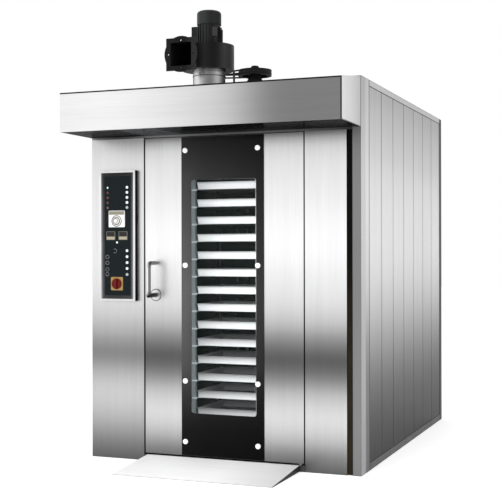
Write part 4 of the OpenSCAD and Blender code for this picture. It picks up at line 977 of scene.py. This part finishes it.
class Cabinet(Assembly):
    """Columns, header, posts, wall panels, roof, base, floor and the inside of the oven."""

    sizes = CabinetSizes()
    looks = (
        (FRONT_STEEL, "front_columns"), (HEADER_STEEL, "front_header"), (POST_STEEL, "corner_posts"),
        (WALL_STEEL, "wall_panels"), (PANEL_STEEL, "roof_panels"), (BASE_PAINT, "base_frame"),
        (FLOOR_STEEL, "chamber_floor"), (LINER_STEEL, "chamber_liner air_duct_wall"), (WOOL, "insulation"),
        (SHAFT_STEEL, "door_hinge_pins heater_bank"), (MOTOR_PAINT, "circulation_motor"),
        (RAMP_STEEL, "entry_ramp"),
    )

    def details(self) -> None:
        """Adds the strip of painted shade in the right column's gap, and the rear screws."""
        self.recess()
        self.rear_screws()

    def recess(self) -> None:
        """Dark strip in the gap between the right column and the corner post: painted shade, brownish, darkest at
        the top.
        """
        s = self.sizes
        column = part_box("front_columns")[1]
        left = column.x + s.shade_strip_gap
        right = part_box("corner_posts")[1].x - s.post_width - s.shade_strip_gap
        front, back = column.y - s.shade_strip_front, column.y - s.shade_strip_back
        outline = rounded_outline(right - left, back - front, s.shade_strip_edge, 4)
        outline += [(left + right) / 2, (front + back) / 2]
        strip = prism(outline, 0.002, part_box("hood_underside")[0].z - 0.001)
        self.add("recess_seal", [strip], RECESS_SHADE, "gasket_rubber")

    def rear_screws(self) -> None:
        """Domed screws along the top and the bottom of the rear panels."""
        s = self.sizes
        low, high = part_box("wall_panels")
        xs = np.linspace(low.x + s.screw_inset, high.x - s.screw_inset, s.screw_columns)
        heights = (low.z + s.screw_margin, high.z - s.screw_margin)
        centres = [(float(x), high.y - s.screw_rise, z) for z in heights for x in xs]
        profile = dome_profile(s.screw_radius, s.screw_rise * 0.7, 0.0003, 1)
        self.turn("rear_panel_screws", profile, centres, SCREW_STEEL, "pin_steel", 16)


@dataclass(frozen=True)
class DoorSizes:
    """Sizes of the door's glass and handle."""

    window_width: float = 0.397
    window_height: float = 1.325
    window_bottom: float = 0.288
    window_corner: float = 0.015
    window_shift: float = 0.007
    tunnel_margin: float = 0.050
    glass_thickness: float = 0.006
    glass_edge: float = 0.0012
    pane_thickness: float = 0.0049
    pane_gap: float = 0.0004
    grip_radius: float = 0.012
    grip_bend: float = 0.0264
    hub_radius: float = 0.0128
    rosette_radius: float = 0.0354
    rosette_depth: float = 0.0102
    rosette_room: float = 0.010


class Door(Assembly):
    """The swing door: steel shell, coated glass with its window, caps, gasket and handle."""

    body = "door"
    sizes = DoorSizes()
    looks = (
        (DOOR_STEEL, "door_shell"), (WOOL, "door_core"), (LINER_STEEL, "door_liner"),
        (SEAL_RUBBER, "door_gasket"), (CAP_WHITE, "glass_caps"),
    )

    def details(self) -> None:
        """Adds the glass and the handle."""
        self.x, _, self.z = next(j for j in frame["joints"] if j["name"] == "handle_turn")["pos_m"]
        self.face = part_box("door_shell")[0].y + self.sizes.rosette_room
        self.glass()
        self.grip()
        self.hub()

    def glass(self) -> None:
        """Outer pane with a black coating round the window, and the two clear panes of the window."""
        s = self.sizes
        low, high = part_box("door_glass")
        x, _, z = middle("door_glass")
        width, height = high.x - low.x, high.z - low.z
        window_x, window_z = x + s.window_shift, s.window_bottom + s.window_height / 2
        face, back = low.y, low.y + s.glass_thickness
        outer = rounded_outline(width, height, 0.002)
        edge = rounded_outline(width - 2 * s.glass_edge, height - 2 * s.glass_edge, 0.001)
        hole = rounded_outline(s.window_width, s.window_height, s.window_corner) + [window_x - x, window_z - z]
        border = upright_rings([hole, outer, outer, edge, hole], [back, back, face + s.glass_edge, face, face], x, z)
        self.add(
            "coated_glass_border", [border], BLACK_GLASS, "door_glass", replaces=("door_glass",), ends=Ends.LOOP
        )
        panes = []
        for margin, corner, depths in (
            (0.0, s.window_corner, [back - 0.0005, face + 0.0003]),
            (s.tunnel_margin, 0.003, [high.y - 0.0001, high.y - s.pane_thickness]),
        ):
            grow = 2 * margin - 2 * s.pane_gap
            outline = rounded_outline(s.window_width + grow, s.window_height + grow, corner)
            panes.append(upright_rings([outline, outline], depths, window_x, window_z))
        self.add("window_panes", panes, WINDOW_GLASS, "door_glass")

    def grip(self) -> None:
        """Round bar of the handle: a straight rise, a quarter circle and a straight run to the door."""
        s = self.sizes
        low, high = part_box("door_handle")
        front = low.y + s.hub_radius - 0.004
        top = high.z - s.grip_radius
        turn = np.linspace(0, np.pi / 2, 13)[1:]
        rise = np.column_stack([np.full(8, front), np.linspace(self.z, top - s.grip_bend, 8)])
        arc = np.column_stack([front + s.grip_bend * (1 - np.cos(turn)), top - s.grip_bend * (1 - np.sin(turn))])
        run = np.column_stack([np.linspace(front + s.grip_bend, self.face - 0.008, 8), np.full(8, top)])[1:]
        flat = np.concatenate([rise, arc, run])
        path = np.column_stack([np.full(len(flat), self.x), flat])
        radii = np.full(len(path), s.grip_radius)
        radii[-1] *= 0.8
        rings = swept_rings(path, radii, (1.0, 0.0, 0.0))
        self.add("handle_grip", [rings], GRIP_CHROME, "handle_chrome", "handle", ("door_handle",), smooth_deg=50)

    def hub(self) -> None:
        """Dark hub of the handle on its spindle, and the bright rosette with a dark edge on the door under it."""
        r, hub = self.sizes.rosette_radius, self.sizes.hub_radius
        tip, end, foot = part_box("door_handle")[0].y, self.face - 0.0103, self.face - 0.0005
        front = self.face - self.sizes.rosette_depth
        dish, lip = front + 0.0014, front + 0.0004
        profile = [
            [0.0, tip], [hub * 0.72, tip], [hub * 0.93, tip + 0.0015], [hub, tip + 0.004],
            [hub, self.face - 0.0125], [0.0105, end], [0.0, end],
        ]
        centres = [(self.x, 0.0, self.z)]
        self.turn("handle_hub", profile, centres, DARK_CHROME, "handle_chrome", 48, body="handle")
        profile = [
            [0.0, foot], [r, foot], [r, front + 0.003], [r - 0.003, front], [r - 0.006, dish],
            [hub + 0.004, dish], [hub + 0.002, lip], [0.0, lip],
        ]
        self.turn("handle_rosette", profile, centres, CHROME, "handle_chrome", 64)
        # A dark ring of painted shade round the rosette's rim.
        edge, centre = ring_profile(r - 0.0026, 0.0025, 10), (self.x, front + 0.0018, self.z)
        self.turn("rosette_edge", edge, [centre], DARK_CHROME, "handle_chrome", 64)


@dataclass(frozen=True)
class ControlSizes:
    """Sizes of the control box's small pieces."""

    bezel_rim: float = 0.012
    bevel_lift: float = 0.0003
    lens_radius: float = 0.0072
    lens_rise: float = 0.003
    lens_inset: float = 0.007
    lens_pitch: float = 0.0293
    lens_ring: float = 0.0011
    button_radius: float = 0.0080
    dial_radius: float = 0.031
    dial_width: float = 0.0045
    strip_height: float = 0.021
    display_width: float = 0.058
    label_height: float = 0.016
    icon_radius: float = 0.0105
    curl_radius: float = 0.012


class ControlBox(Assembly):
    """Bezel, black plate, lamps, timer, displays, buttons and the main switch."""

    sizes = ControlSizes()
    looks = ((BEZEL_STEEL, "control_bezel"), (PLATE_BLACK, "control_plate"))

    def details(self) -> None:
        """Adds the small pieces that stand on the plate."""
        self.plate_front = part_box("control_plate")[0].y
        self.bevel()
        self.lamps()
        self.buttons()
        self.timer_face()
        self.timer_knob()
        self.displays()
        self.switch()
        self.icons()

    def bevel(self) -> None:
        """Dark sloping frame between the bright edge and the plate."""
        s = self.sizes
        low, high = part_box("control_bezel")
        plate_low, plate_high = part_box("control_plate")
        x, _, z = middle("control_bezel")
        outer = rounded_outline(high.x - low.x - 2 * s.bezel_rim, high.z - low.z - 2 * s.bezel_rim, 0.0008, 3)
        inner = rounded_outline(plate_high.x - plate_low.x, plate_high.z - plate_low.z, 0.0008, 3)
        depths = [low.y + 0.0004, low.y - s.bevel_lift, self.plate_front - s.bevel_lift, self.plate_front]
        rings = upright_rings([outer, outer, inner, inner], depths, x, z)
        # The bevel's finish carries painted shade.
        self.add("bevel_frame", [rings], BEVEL_DARK, "bezel_steel", ends=Ends.LOOP)

    def lamps(self) -> None:
        """Domed lenses with dark rings, in place of the plain lamps."""
        s = self.sizes
        low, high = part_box("indicator_lamps")
        left, right = low.x + s.lens_inset, high.x - s.lens_inset
        heights = [high.z - s.lens_inset - i * s.lens_pitch for i in range(5)]
        heads = [(left, self.plate_front, z) for z in heights]
        centre = [(right, self.plate_front, low.z + s.lens_inset)]
        dome = dome_profile(s.lens_radius * 0.86, s.lens_rise, 0.0008)
        for name, centres, finish, replaces in (
            ("lamp_top", heads[:1], LENS_GREEN, ("indicator_lamps",)), ("lamps_red", heads[1:4], LENS_RED, ()),
            ("lamp_dim", heads[4:], LENS_DIM, ()), ("lamp_middle", centre, LENS_WHITE, ()),
        ):
            self.turn(name, dome, centres, finish, "lamp_red", 24, replaces=replaces)
        ring = ring_profile(s.lens_radius * 0.95, s.lens_ring, 12)
        centres = [(left, self.plate_front - 0.0008, z) for z in heights]
        self.turn("lamp_rings", ring, centres, DIAL_GREY, "bezel_steel", 24)

    def buttons(self) -> None:
        """Round push buttons with a crowned face, each on its own body; the lowest of a row is grey."""
        cap = dome_profile(self.sizes.button_radius, 0.0012, 0.0058)
        for row in ("upper", "lower"):
            for i in range(1, 6):
                node = f"{row}_button_{i}"
                x, _, z = middle(node)
                finish = BUTTON_GREY if i == 5 else BUTTON_WHITE
                self.turn(
                    f"{node}_cap", cap, [(x, self.plate_front + 0.003, z)], finish, "button_white", 32,
                    body=f"{row}_push_{i}", replaces=(node,),
                )

    def timer_face(self) -> None:
        """Ivory plate of the timer with a darker top strip and a grey dial ring."""
        s = self.sizes
        low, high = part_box("timer_module")
        x, _, z = middle("timer_module")
        width = high.x - low.x
        face = plate_rings(width, high.z - low.z, 0.004, x, z, self.plate_front, low.y, 0.0012)
        self.add("timer_face", [face], TIMER_WHITE, "timer_plastic", replaces=("timer_module",))
        strip_z = high.z - s.strip_height / 2 - 0.003
        strip = plate_rings(width - 0.005, s.strip_height, 0.002, x, strip_z, low.y + 0.001, low.y - 0.0005, 0.0003)
        self.add("timer_strip", [strip], TIMER_OLIVE, "timer_plastic")
        x, _, z = middle("timer_knob")
        near, far = s.dial_radius - s.dial_width / 2, s.dial_radius + s.dial_width / 2
        dial = [[near, 0.0], [far, 0.0], [far, -0.0008], [near, -0.0008]]
        self.turn("timer_dial_ring", dial, [(x, low.y + 0.0003, z)], DIAL_GREY, "timer_plastic", 64)

    def timer_knob(self) -> None:
        """White knob of the timer with two dark rings and its mark."""
        low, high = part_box("timer_knob")
        x, _, z = middle("timer_knob")
        r, tip = (high.x - low.x) / 2, low.y
        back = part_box("timer_module")[0].y - 0.0004
        profile = [
            [0.0, back], [r, back], [r, back - 0.0025], [r * 0.93, back - 0.0045], [r * 0.62, tip + 0.002],
            [r * 0.56, tip + 0.0005], [r * 0.45, tip], [0.0, tip],
        ]
        self.turn(
            "timer_knob_cap", profile, [(x, 0.0, z)], TIMER_WHITE, "timer_plastic", 48, body="timer",
            replaces=("timer_knob",),
        )
        # The outer ring is a dark line near the rim; the inner ring is painted shade at the step of the knob's face.
        rings = [
            turned_rings(ring_profile(r * 0.94, 0.0026), (x, back - 0.0040, z), Axis.Y, 48),
            turned_rings(ring_profile(r * 0.56, 0.0016), (x, tip + 0.0010, z), Axis.Y, 48),
        ]
        self.add("timer_knob_rings", rings, DIAL_GREY, "timer_plastic", "timer", ends=Ends.LOOP)
        mark = plate_rings(0.0022, 0.011, 0.0008, x, z + r * 0.55, tip + 0.004, tip + 0.0002, 0.0003)
        self.add("timer_knob_mark", [mark], DIAL_GREY, "timer_plastic", "timer")

    def displays(self) -> None:
        """Two display modules: a frame, a smoked window and a plain lower strip."""
        s = self.sizes
        low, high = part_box("displays")
        z, height, width = middle("displays")[2], high.z - low.z, s.display_width
        tall = height - s.label_height - 0.008
        inset, proud = low.y + 0.001, low.y - 0.0004
        window_z, strip_z = high.z - 0.003 - tall / 2, low.z + 0.003 + s.label_height / 2
        xs = (low.x + width / 2, high.x - width / 2)
        frames = [plate_rings(width, height, 0.002, x, z, self.plate_front, low.y, 0.0006) for x in xs]
        windows = [plate_rings(width - 0.008, tall, 0.001, x, window_z, inset, proud, 0.0002) for x in xs]
        strips = [plate_rings(width - 0.006, s.label_height, 0.001, x, strip_z, inset, proud, 0.0002) for x in xs]
        self.add("display_frames", frames, DISPLAY_FRAME, "display_plastic", replaces=("displays",))
        self.add("display_windows", windows, DISPLAY_DARK, "display_plastic")
        self.add("display_strips", strips, DISPLAY_BEIGE, "display_plastic")

    def switch(self) -> None:
        """Main switch: a yellow plate and a red rotary knob with a raised grip."""
        low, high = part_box("switch_plate")
        x, _, z = middle("switch_plate")
        size = high.x - low.x
        face = plate_rings(size, size, 0.006, x, z, self.plate_front, low.y, 0.001)
        self.add("switch_face", [face], SWITCH_YELLOW, "switch_yellow", replaces=("switch_plate",))
        knob_low, knob_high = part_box("switch_knob")
        r, back = (knob_high.x - knob_low.x) / 2 * 1.12, low.y - 0.0004
        profile = [
            [0.0, back], [r, back], [r, back - 0.005], [r - 0.002, back - 0.0075], [r * 0.6, back - 0.0078],
            [0.0, back - 0.0078],
        ]
        self.turn(
            "switch_disc", profile, [(x, 0.0, z)], SWITCH_RED, "switch_red", 48, body="main_switch",
            replaces=("switch_knob",),
        )
        grip = plate_rings(0.014, 2 * r - 0.004, 0.006, x, z, back - 0.006, knob_low.y, 0.003)
        self.add("switch_grip", [grip], SWITCH_RED, "switch_red", "main_switch")

    def icons(self) -> None:
        """Plain ring marks left of the lower buttons and a plain curl above them."""
        s = self.sizes
        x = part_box("lower_button_1")[0].x
        centres = [(x - 0.119, self.plate_front, z) for z in (1.176, 1.1415, 1.103, 1.075)]
        self.turn("plain_ring_marks", ring_profile(s.icon_radius, 0.0010), centres, ICON_GREY, "bezel_steel", 32)
        turn = np.linspace(-2.2, 2.2, 28)
        curl_x, curl_z = x - 0.070 + s.curl_radius * np.cos(turn), 1.211 + s.curl_radius * np.sin(turn)
        path = np.column_stack([curl_x, np.full(len(turn), self.plate_front), curl_z])
        curl = swept_rings(path, 0.0009, (0.0, 1.0, 0.0), 8)
        self.add("plain_curl_mark", [curl], ICON_GREY, "bezel_steel")


@dataclass(frozen=True)
class HoodSizes:
    """Sizes of the hood's edges."""

    hem_radius: float = 0.004
    seam: float = 0.0018
    face_height: float = 0.220


class Hood(Assembly):
    """Extraction hood over the door."""

    sizes = HoodSizes()
    looks = ((HOOD_STEEL, "hood_shell"), (UNDER_STEEL, "hood_underside"))

    def details(self) -> None:
        """Adds the bright hem and the dark folded seams of the front face."""
        low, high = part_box("hood_shell")
        r, s = self.sizes.hem_radius, self.sizes.seam
        ends = [low.x + 0.001, low.y + r, low.z + r], [high.x - 0.001, low.y + r, low.z + r]
        hem = swept_rings(np.linspace(*ends, 4), r - 0.0002, (0.0, 0.0, 1.0), 16)
        # The hem carries a painted highlight along the hood's lower lip.
        self.add("hood_hem", [hem], HEM_STEEL, "front_steel", smooth_deg=60)
        y, top = low.y + s * 0.9, low.z + self.sizes.face_height - s
        corner = [high.x - s, y, top]
        seams = [
            swept_rings(np.linspace([low.x + s, y, top], corner, 4), s * 0.95, (0.0, 0.0, 1.0), 12),
            swept_rings(np.linspace([high.x - s, y, low.z + 0.012], corner, 4), s * 0.95, (1.0, 0.0, 0.0), 12),
        ]
        self.add("hood_seams", seams, SEAL_RUBBER, "hood_dark_steel", smooth_deg=60)


@dataclass(frozen=True)
class BlowerSizes:
    """Sizes of the blower's small pieces."""

    axis: tuple[float, float] = (0.0, -0.700)
    ribs: int = 22
    rib_depth: float = 0.006
    rib_width: float = 0.0022
    rib_span: Span = (0.010, 0.112)
    motor_radius: float = 0.062
    screw_radius: float = 0.0045
    screw_circle: float = 0.112
    grille_rings: int = 5
    grille_pitch: float = 0.0085
    plate_span: Span = (0.045, 0.095)
    flange_radius: float = 0.0955
    flange_x: float = -0.085
    flange_z: float = 2.268


class Blower(Assembly):
    """Extraction blower on the hood: casing, outlet flange, motor, cowl and duct collar."""

    sizes = BlowerSizes()
    looks = (
        (BLACK_PAINT, "blower_casing"), (COWL_PAINT, "blower_motor"), (MOTOR_PAINT, "blower_wheel"),
        (COLLAR_STEEL, "duct_collar"),
    )

    def details(self) -> None:
        """Adds the ribs, the casing's screws, the grille, the data plate and the flange's edge."""
        s = self.sizes
        low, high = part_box("blower_motor")
        self.ribs(low.z)
        screw = dome_profile(s.screw_radius, 0.002, 0.0012, 1)
        places = circle(s.screw_circle, [20, 70, 110, 160, 200, 250, 290, 340], (*s.axis, low.z))
        self.turn("casing_screws", screw, places, SCREW_STEEL, "black_paint", 12, Axis.Z)
        wires = [ring_profile(0.012 + s.grille_pitch * i, 0.0012) for i in range(s.grille_rings)]
        grille = [turned_rings(wire, (*s.axis, high.z - 0.0013), Axis.Z, 40) for wire in wires]
        self.add("cowl_grille", grille, SCREW_STEEL, "black_paint", ends=Ends.LOOP)
        self.plate(low.z)
        place = (s.flange_x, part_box("blower_casing")[0].y + 0.0011, s.flange_z)
        self.turn("flange_edge", ring_profile(s.flange_radius, 0.0010), [place], FLANGE_PAINT, "black_paint", 64)

    def ribs(self, base: float) -> None:
        """Upright cooling ribs on the front and the back of the motor's body.

        Args:
            base: Height of the motor's foot.
        """
        s = self.sizes
        flat = rounded_outline(s.rib_depth * 2, s.rib_width, s.rib_width * 0.45, 3) + [s.motor_radius, 0.0]
        stacks = []
        for angle in np.linspace(0, 2 * np.pi, s.ribs, endpoint=False):
            cos, sin = math.cos(angle), math.sin(angle)
            if abs(cos) <= 0.80:
                outline = flat @ np.array([[cos, -sin], [sin, cos]]).T + s.axis
                stacks.append(prism(outline, base + s.rib_span[0], base + s.rib_span[1]))
        self.add("motor_ribs", stacks, BLACK_PAINT, "black_paint")

    def plate(self, base: float) -> None:
        """Bare data plate on the motor's side: an arc there and back, at two radii.

        Args:
            base: Height of the motor's foot.
        """
        s = self.sizes
        arc = np.radians(np.linspace(-52, -26, 10))
        angle = np.concatenate([arc, arc[::-1]])
        heights = np.repeat([base + z for z in s.plate_span], len(arc))
        rings = [
            np.column_stack([s.axis[0] + r * np.cos(angle), s.axis[1] + r * np.sin(angle), heights])
            for r in (s.motor_radius + 0.0002, s.motor_radius + 0.0070)
        ]
        self.add("motor_data_plate", [np.stack(rings)], FLANGE_PAINT, "black_paint")


class RackDrive(Assembly):
    """Shaft bearings, pulleys, belts and gearmotor on the roof."""

    looks = (
        (CAST_BLACK, "shaft_bearings drive_pulley motor_pulley"), (BELT_RUBBER, "drive_belts"),
        (MOTOR_PAINT, "gearmotor"),
    )

    def details(self) -> None:
        """Adds the upper bearing's cone, hollow round the shaft's collar, its screws and the shaft's nut."""
        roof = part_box("roof_panels")[1].z
        low, top = roof + 0.012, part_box("drive_pulley")[0].z - 0.004
        cone = [
            [0.0335, low], [0.0335, top], [0.037, top], [0.0405, top - 0.004], [0.049, top - 0.022], [0.055, low],
        ]
        self.turn("bearing_housing", cone, [(0.0, 0.0, 0.0)], CAST_BLACK, "bearing_cast", 40, Axis.Z)
        screw = dome_profile(0.006, 0.002, 0.004, 1)
        places = circle(0.050, [45, 135, 225, 315], (0.0, 0.0, roof + 0.010))
        self.turn("bearing_screws", screw, places, SCREW_STEEL, "bearing_cast", 6, Axis.Z)
        nut = [
            [0.0, -0.012], [0.027, -0.012], [0.027, -0.008], [0.022, -0.0078], [0.022, -0.002],
            [0.019, -0.0002], [0.0, -0.0002],
        ]
        place = (0.0, 0.0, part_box("drive_shaft")[1].z)
        self.turn("shaft_nut", nut, [place], CAST_BLACK, "shaft_steel", 24, Axis.Z, "rack")


@dataclass(frozen=True)
class WheelSizes:
    """Sizes of a caster wheel's section."""

    radius: float = 0.050
    width: float = 0.030
    hub: float = 0.014
    bore: float = 0.0051
    shoulder: float = 0.005
    recess: float = 0.006


class Rack(Assembly):
    """The rack, its trays and its casters."""

    body = "rack"
    sizes = WheelSizes()
    looks = (
        (RACK_STEEL, "rack_frame"), (TRAY_METAL, "rack_trays"),
        (SHAFT_STEEL, "drive_shaft left_caster_fork right_caster_fork"), (MOTOR_PAINT, "circulation_wheel"),
    )

    def details(self) -> None:
        """Adds the caster wheels: a rounded tread on a recessed web with a hub, mirrored to the other side."""
        s = self.sizes
        half, rim = s.width / 2, s.radius - s.shoulder
        web = half - s.recess
        turn = np.linspace(0, np.pi / 2, 5)
        shoulder = np.column_stack([rim + s.shoulder * np.sin(turn), half - s.shoulder * (1 - np.cos(turn))])
        side = [[s.bore, half], [s.hub, half], [s.hub + 0.002, web], [rim - 0.010, web], [rim - 0.007, half]]
        one = np.concatenate([side, shoulder])
        profile = np.concatenate([one, one[::-1] * [1.0, -1.0]])
        for name in ("left", "right"):
            for end in ("front", "rear"):
                node = f"wheel_{end}_{name}"
                self.turn(
                    f"{node}_tread", profile, [middle(node)], TREAD_RUBBER, "caster_tread", 40, Axis.X,
                    f"{end}_{name}_wheel", (node,),
                )


# Studio


@dataclass(frozen=True)
class Lamp:
    """A soft rectangular lamp: its name, its place, what it points at, its width and height, and its watts."""

    name: str
    place: Point
    target: Point
    size: tuple[float, float]
    power: float


@dataclass(frozen=True)
class View:
    """The photograph's camera: its place, its turn about +Z, its pitch and roll in degrees, and its lens."""

    place: Point = (2.37878, -6.17763, 1.20585)
    turn: float = 21.3385
    pitch: float = 0.0812
    roll: float = -0.1048
    lens: float = 78.1036


def place_by(item: bpy.types.Object, right: np.ndarray, up: np.ndarray, back: np.ndarray, place: Point) -> None:
    """Puts an object in the scene with given right, up and backward directions, at a place."""
    bpy.context.scene.collection.objects.link(item)
    matrix = np.eye(4)
    matrix[:3] = np.column_stack([right, up, back, place])
    item.matrix_world = Matrix(matrix.tolist())


class Studio:
    """Pale floor, white surroundings, soft lamps and the camera."""

    white = (1, 1, 1, 1)
    lamps = (
        Lamp("key_lamp", (-2.6, -5.2, 3.6), (0.0, -0.4, 1.1), (2.6, 2.6), 130.0),
        Lamp("fill_lamp", (5.2, -2.6, 2.8), (0.6, 0.4, 1.1), (2.6, 2.6), 60.0),
        Lamp("tray_lamp", (0.0, -0.44, 0.95), (0.0, 0.0, 0.95), (0.60, 1.6), 7.2),
        Lamp("ramp_lamp", (0.3, -2.4, 1.6), (0.0, -0.8, 0.0), (1.4, 0.8), 16.0),
    )

    def build(self, view: View = View()) -> None:
        """Makes the world, the floor, the lamps and the camera.

        Args:
            view: The photograph's camera.
        """
        self.world()
        self.floor()
        for lamp in self.lamps:
            self.lamp(lamp)
        self.camera(view)
        bpy.context.scene.view_settings.view_transform = "Standard"

    def world(self) -> None:
        """White to the camera, to mirrors and through glass; a softer white as light."""
        world = bpy.data.worlds.new("studio")
        bpy.context.scene.world = world
        sheet = Sheet(world)
        soft = sheet.put(sheet.nodes["Background"], {0: self.white, 1: 0.85})
        seen = sheet.add("Background", {0: self.white, 1: 1.0})
        rays = sheet.add("LightPath").outputs
        either = sheet.math("MAXIMUM", rays["Is Camera Ray"], rays["Is Glossy Ray"])
        any_of = sheet.math("MAXIMUM", either, rays["Is Transmission Ray"])
        mix = sheet.add("MixShader", {0: any_of, 1: soft.outputs[0], 2: seen.outputs[0]})
        sheet.put(sheet.nodes["World Output"], {0: mix.outputs[0]})

    def floor(self) -> None:
        """Large pale floor that runs into the white background and keeps a soft shadow."""
        ring = rounded_outline(60.0, 60.0, 20.0, 16)
        mesh = bpy.data.meshes.new("studio_floor")
        points = np.column_stack([ring, np.full(len(ring), -0.0005)])
        mesh.from_pydata(points.tolist(), [], [list(range(len(ring)))])
        floor = bpy.data.objects.new("studio_floor", mesh)
        bpy.context.scene.collection.objects.link(floor)
        sheet = Sheet(bpy.data.materials.new("pale_floor"))
        sheet.put(sheet.surface, {"Base Color": (0.9, 0.9, 0.9, 1), "Roughness": 0.8})
        rays = sheet.add("LightPath").outputs
        mirrored = sheet.math("MULTIPLY", rays["Is Glossy Ray"], 0.14)
        seen = sheet.math("MULTIPLY_ADD", rays["Is Camera Ray"], 0.42, mirrored)
        glow = sheet.add("Emission", {0: self.white, 1: seen})
        both = sheet.add("AddShader", {0: sheet.surface.outputs[0], 1: glow.outputs[0]})
        sheet.put(sheet.nodes["Material Output"], {0: both.outputs[0]})
        mesh.materials.append(sheet.owner)

    def lamp(self, lamp: Lamp) -> None:
        """Makes one rectangular lamp.

        Args:
            lamp: Its description.
        """
        data = bpy.data.lights.new(lamp.name, "AREA")
        data.shape = "RECTANGLE"
        data.size, data.size_y = lamp.size
        data.energy = lamp.power
        source = bpy.data.objects.new(lamp.name, data)
        source.visible_camera = False
        source.visible_glossy = False
        away = np.array(lamp.place) - np.array(lamp.target)
        away /= np.linalg.norm(away)
        right = np.cross((0.0, 0.0, 1.0), away)
        right /= np.linalg.norm(right)
        place_by(source, right, np.cross(away, right), away, lamp.place)

    def camera(self, view: View) -> None:
        """Makes the photograph's camera from its forward, right and up directions.

        Args:
            view: The photograph's camera.
        """
        turn, pitch, roll = (math.radians(a) for a in (view.turn, view.pitch, view.roll))
        level = math.cos(pitch)
        forward = np.array([-math.sin(turn) * level, math.cos(turn) * level, math.sin(pitch)])
        right = np.array([math.cos(turn), math.sin(turn), 0.0])
        up = np.cross(right, forward)
        rolled_right = math.cos(roll) * right + math.sin(roll) * up
        rolled_up = math.cos(roll) * up - math.sin(roll) * right
        data = bpy.data.cameras.new("camera")
        data.lens = view.lens
        data.sensor_width = 36.0
        data.sensor_fit = "HORIZONTAL"
        camera = bpy.data.objects.new("camera", data)
        place_by(camera, rolled_right, rolled_up, -forward, view.place)
        bpy.context.scene.camera = camera


def main() -> None:
    """Builds the oven's looks in order."""
    logging.basicConfig(level=logging.INFO, format="%(name)s: %(message)s")
    for assembly in (Cabinet, Door, ControlBox, Hood, Blower, RackDrive, Rack):
        assembly().build()
        LOG.info("%s done", assembly.__name__)
    Studio().build()


if __name__ == "__main__":
    main()
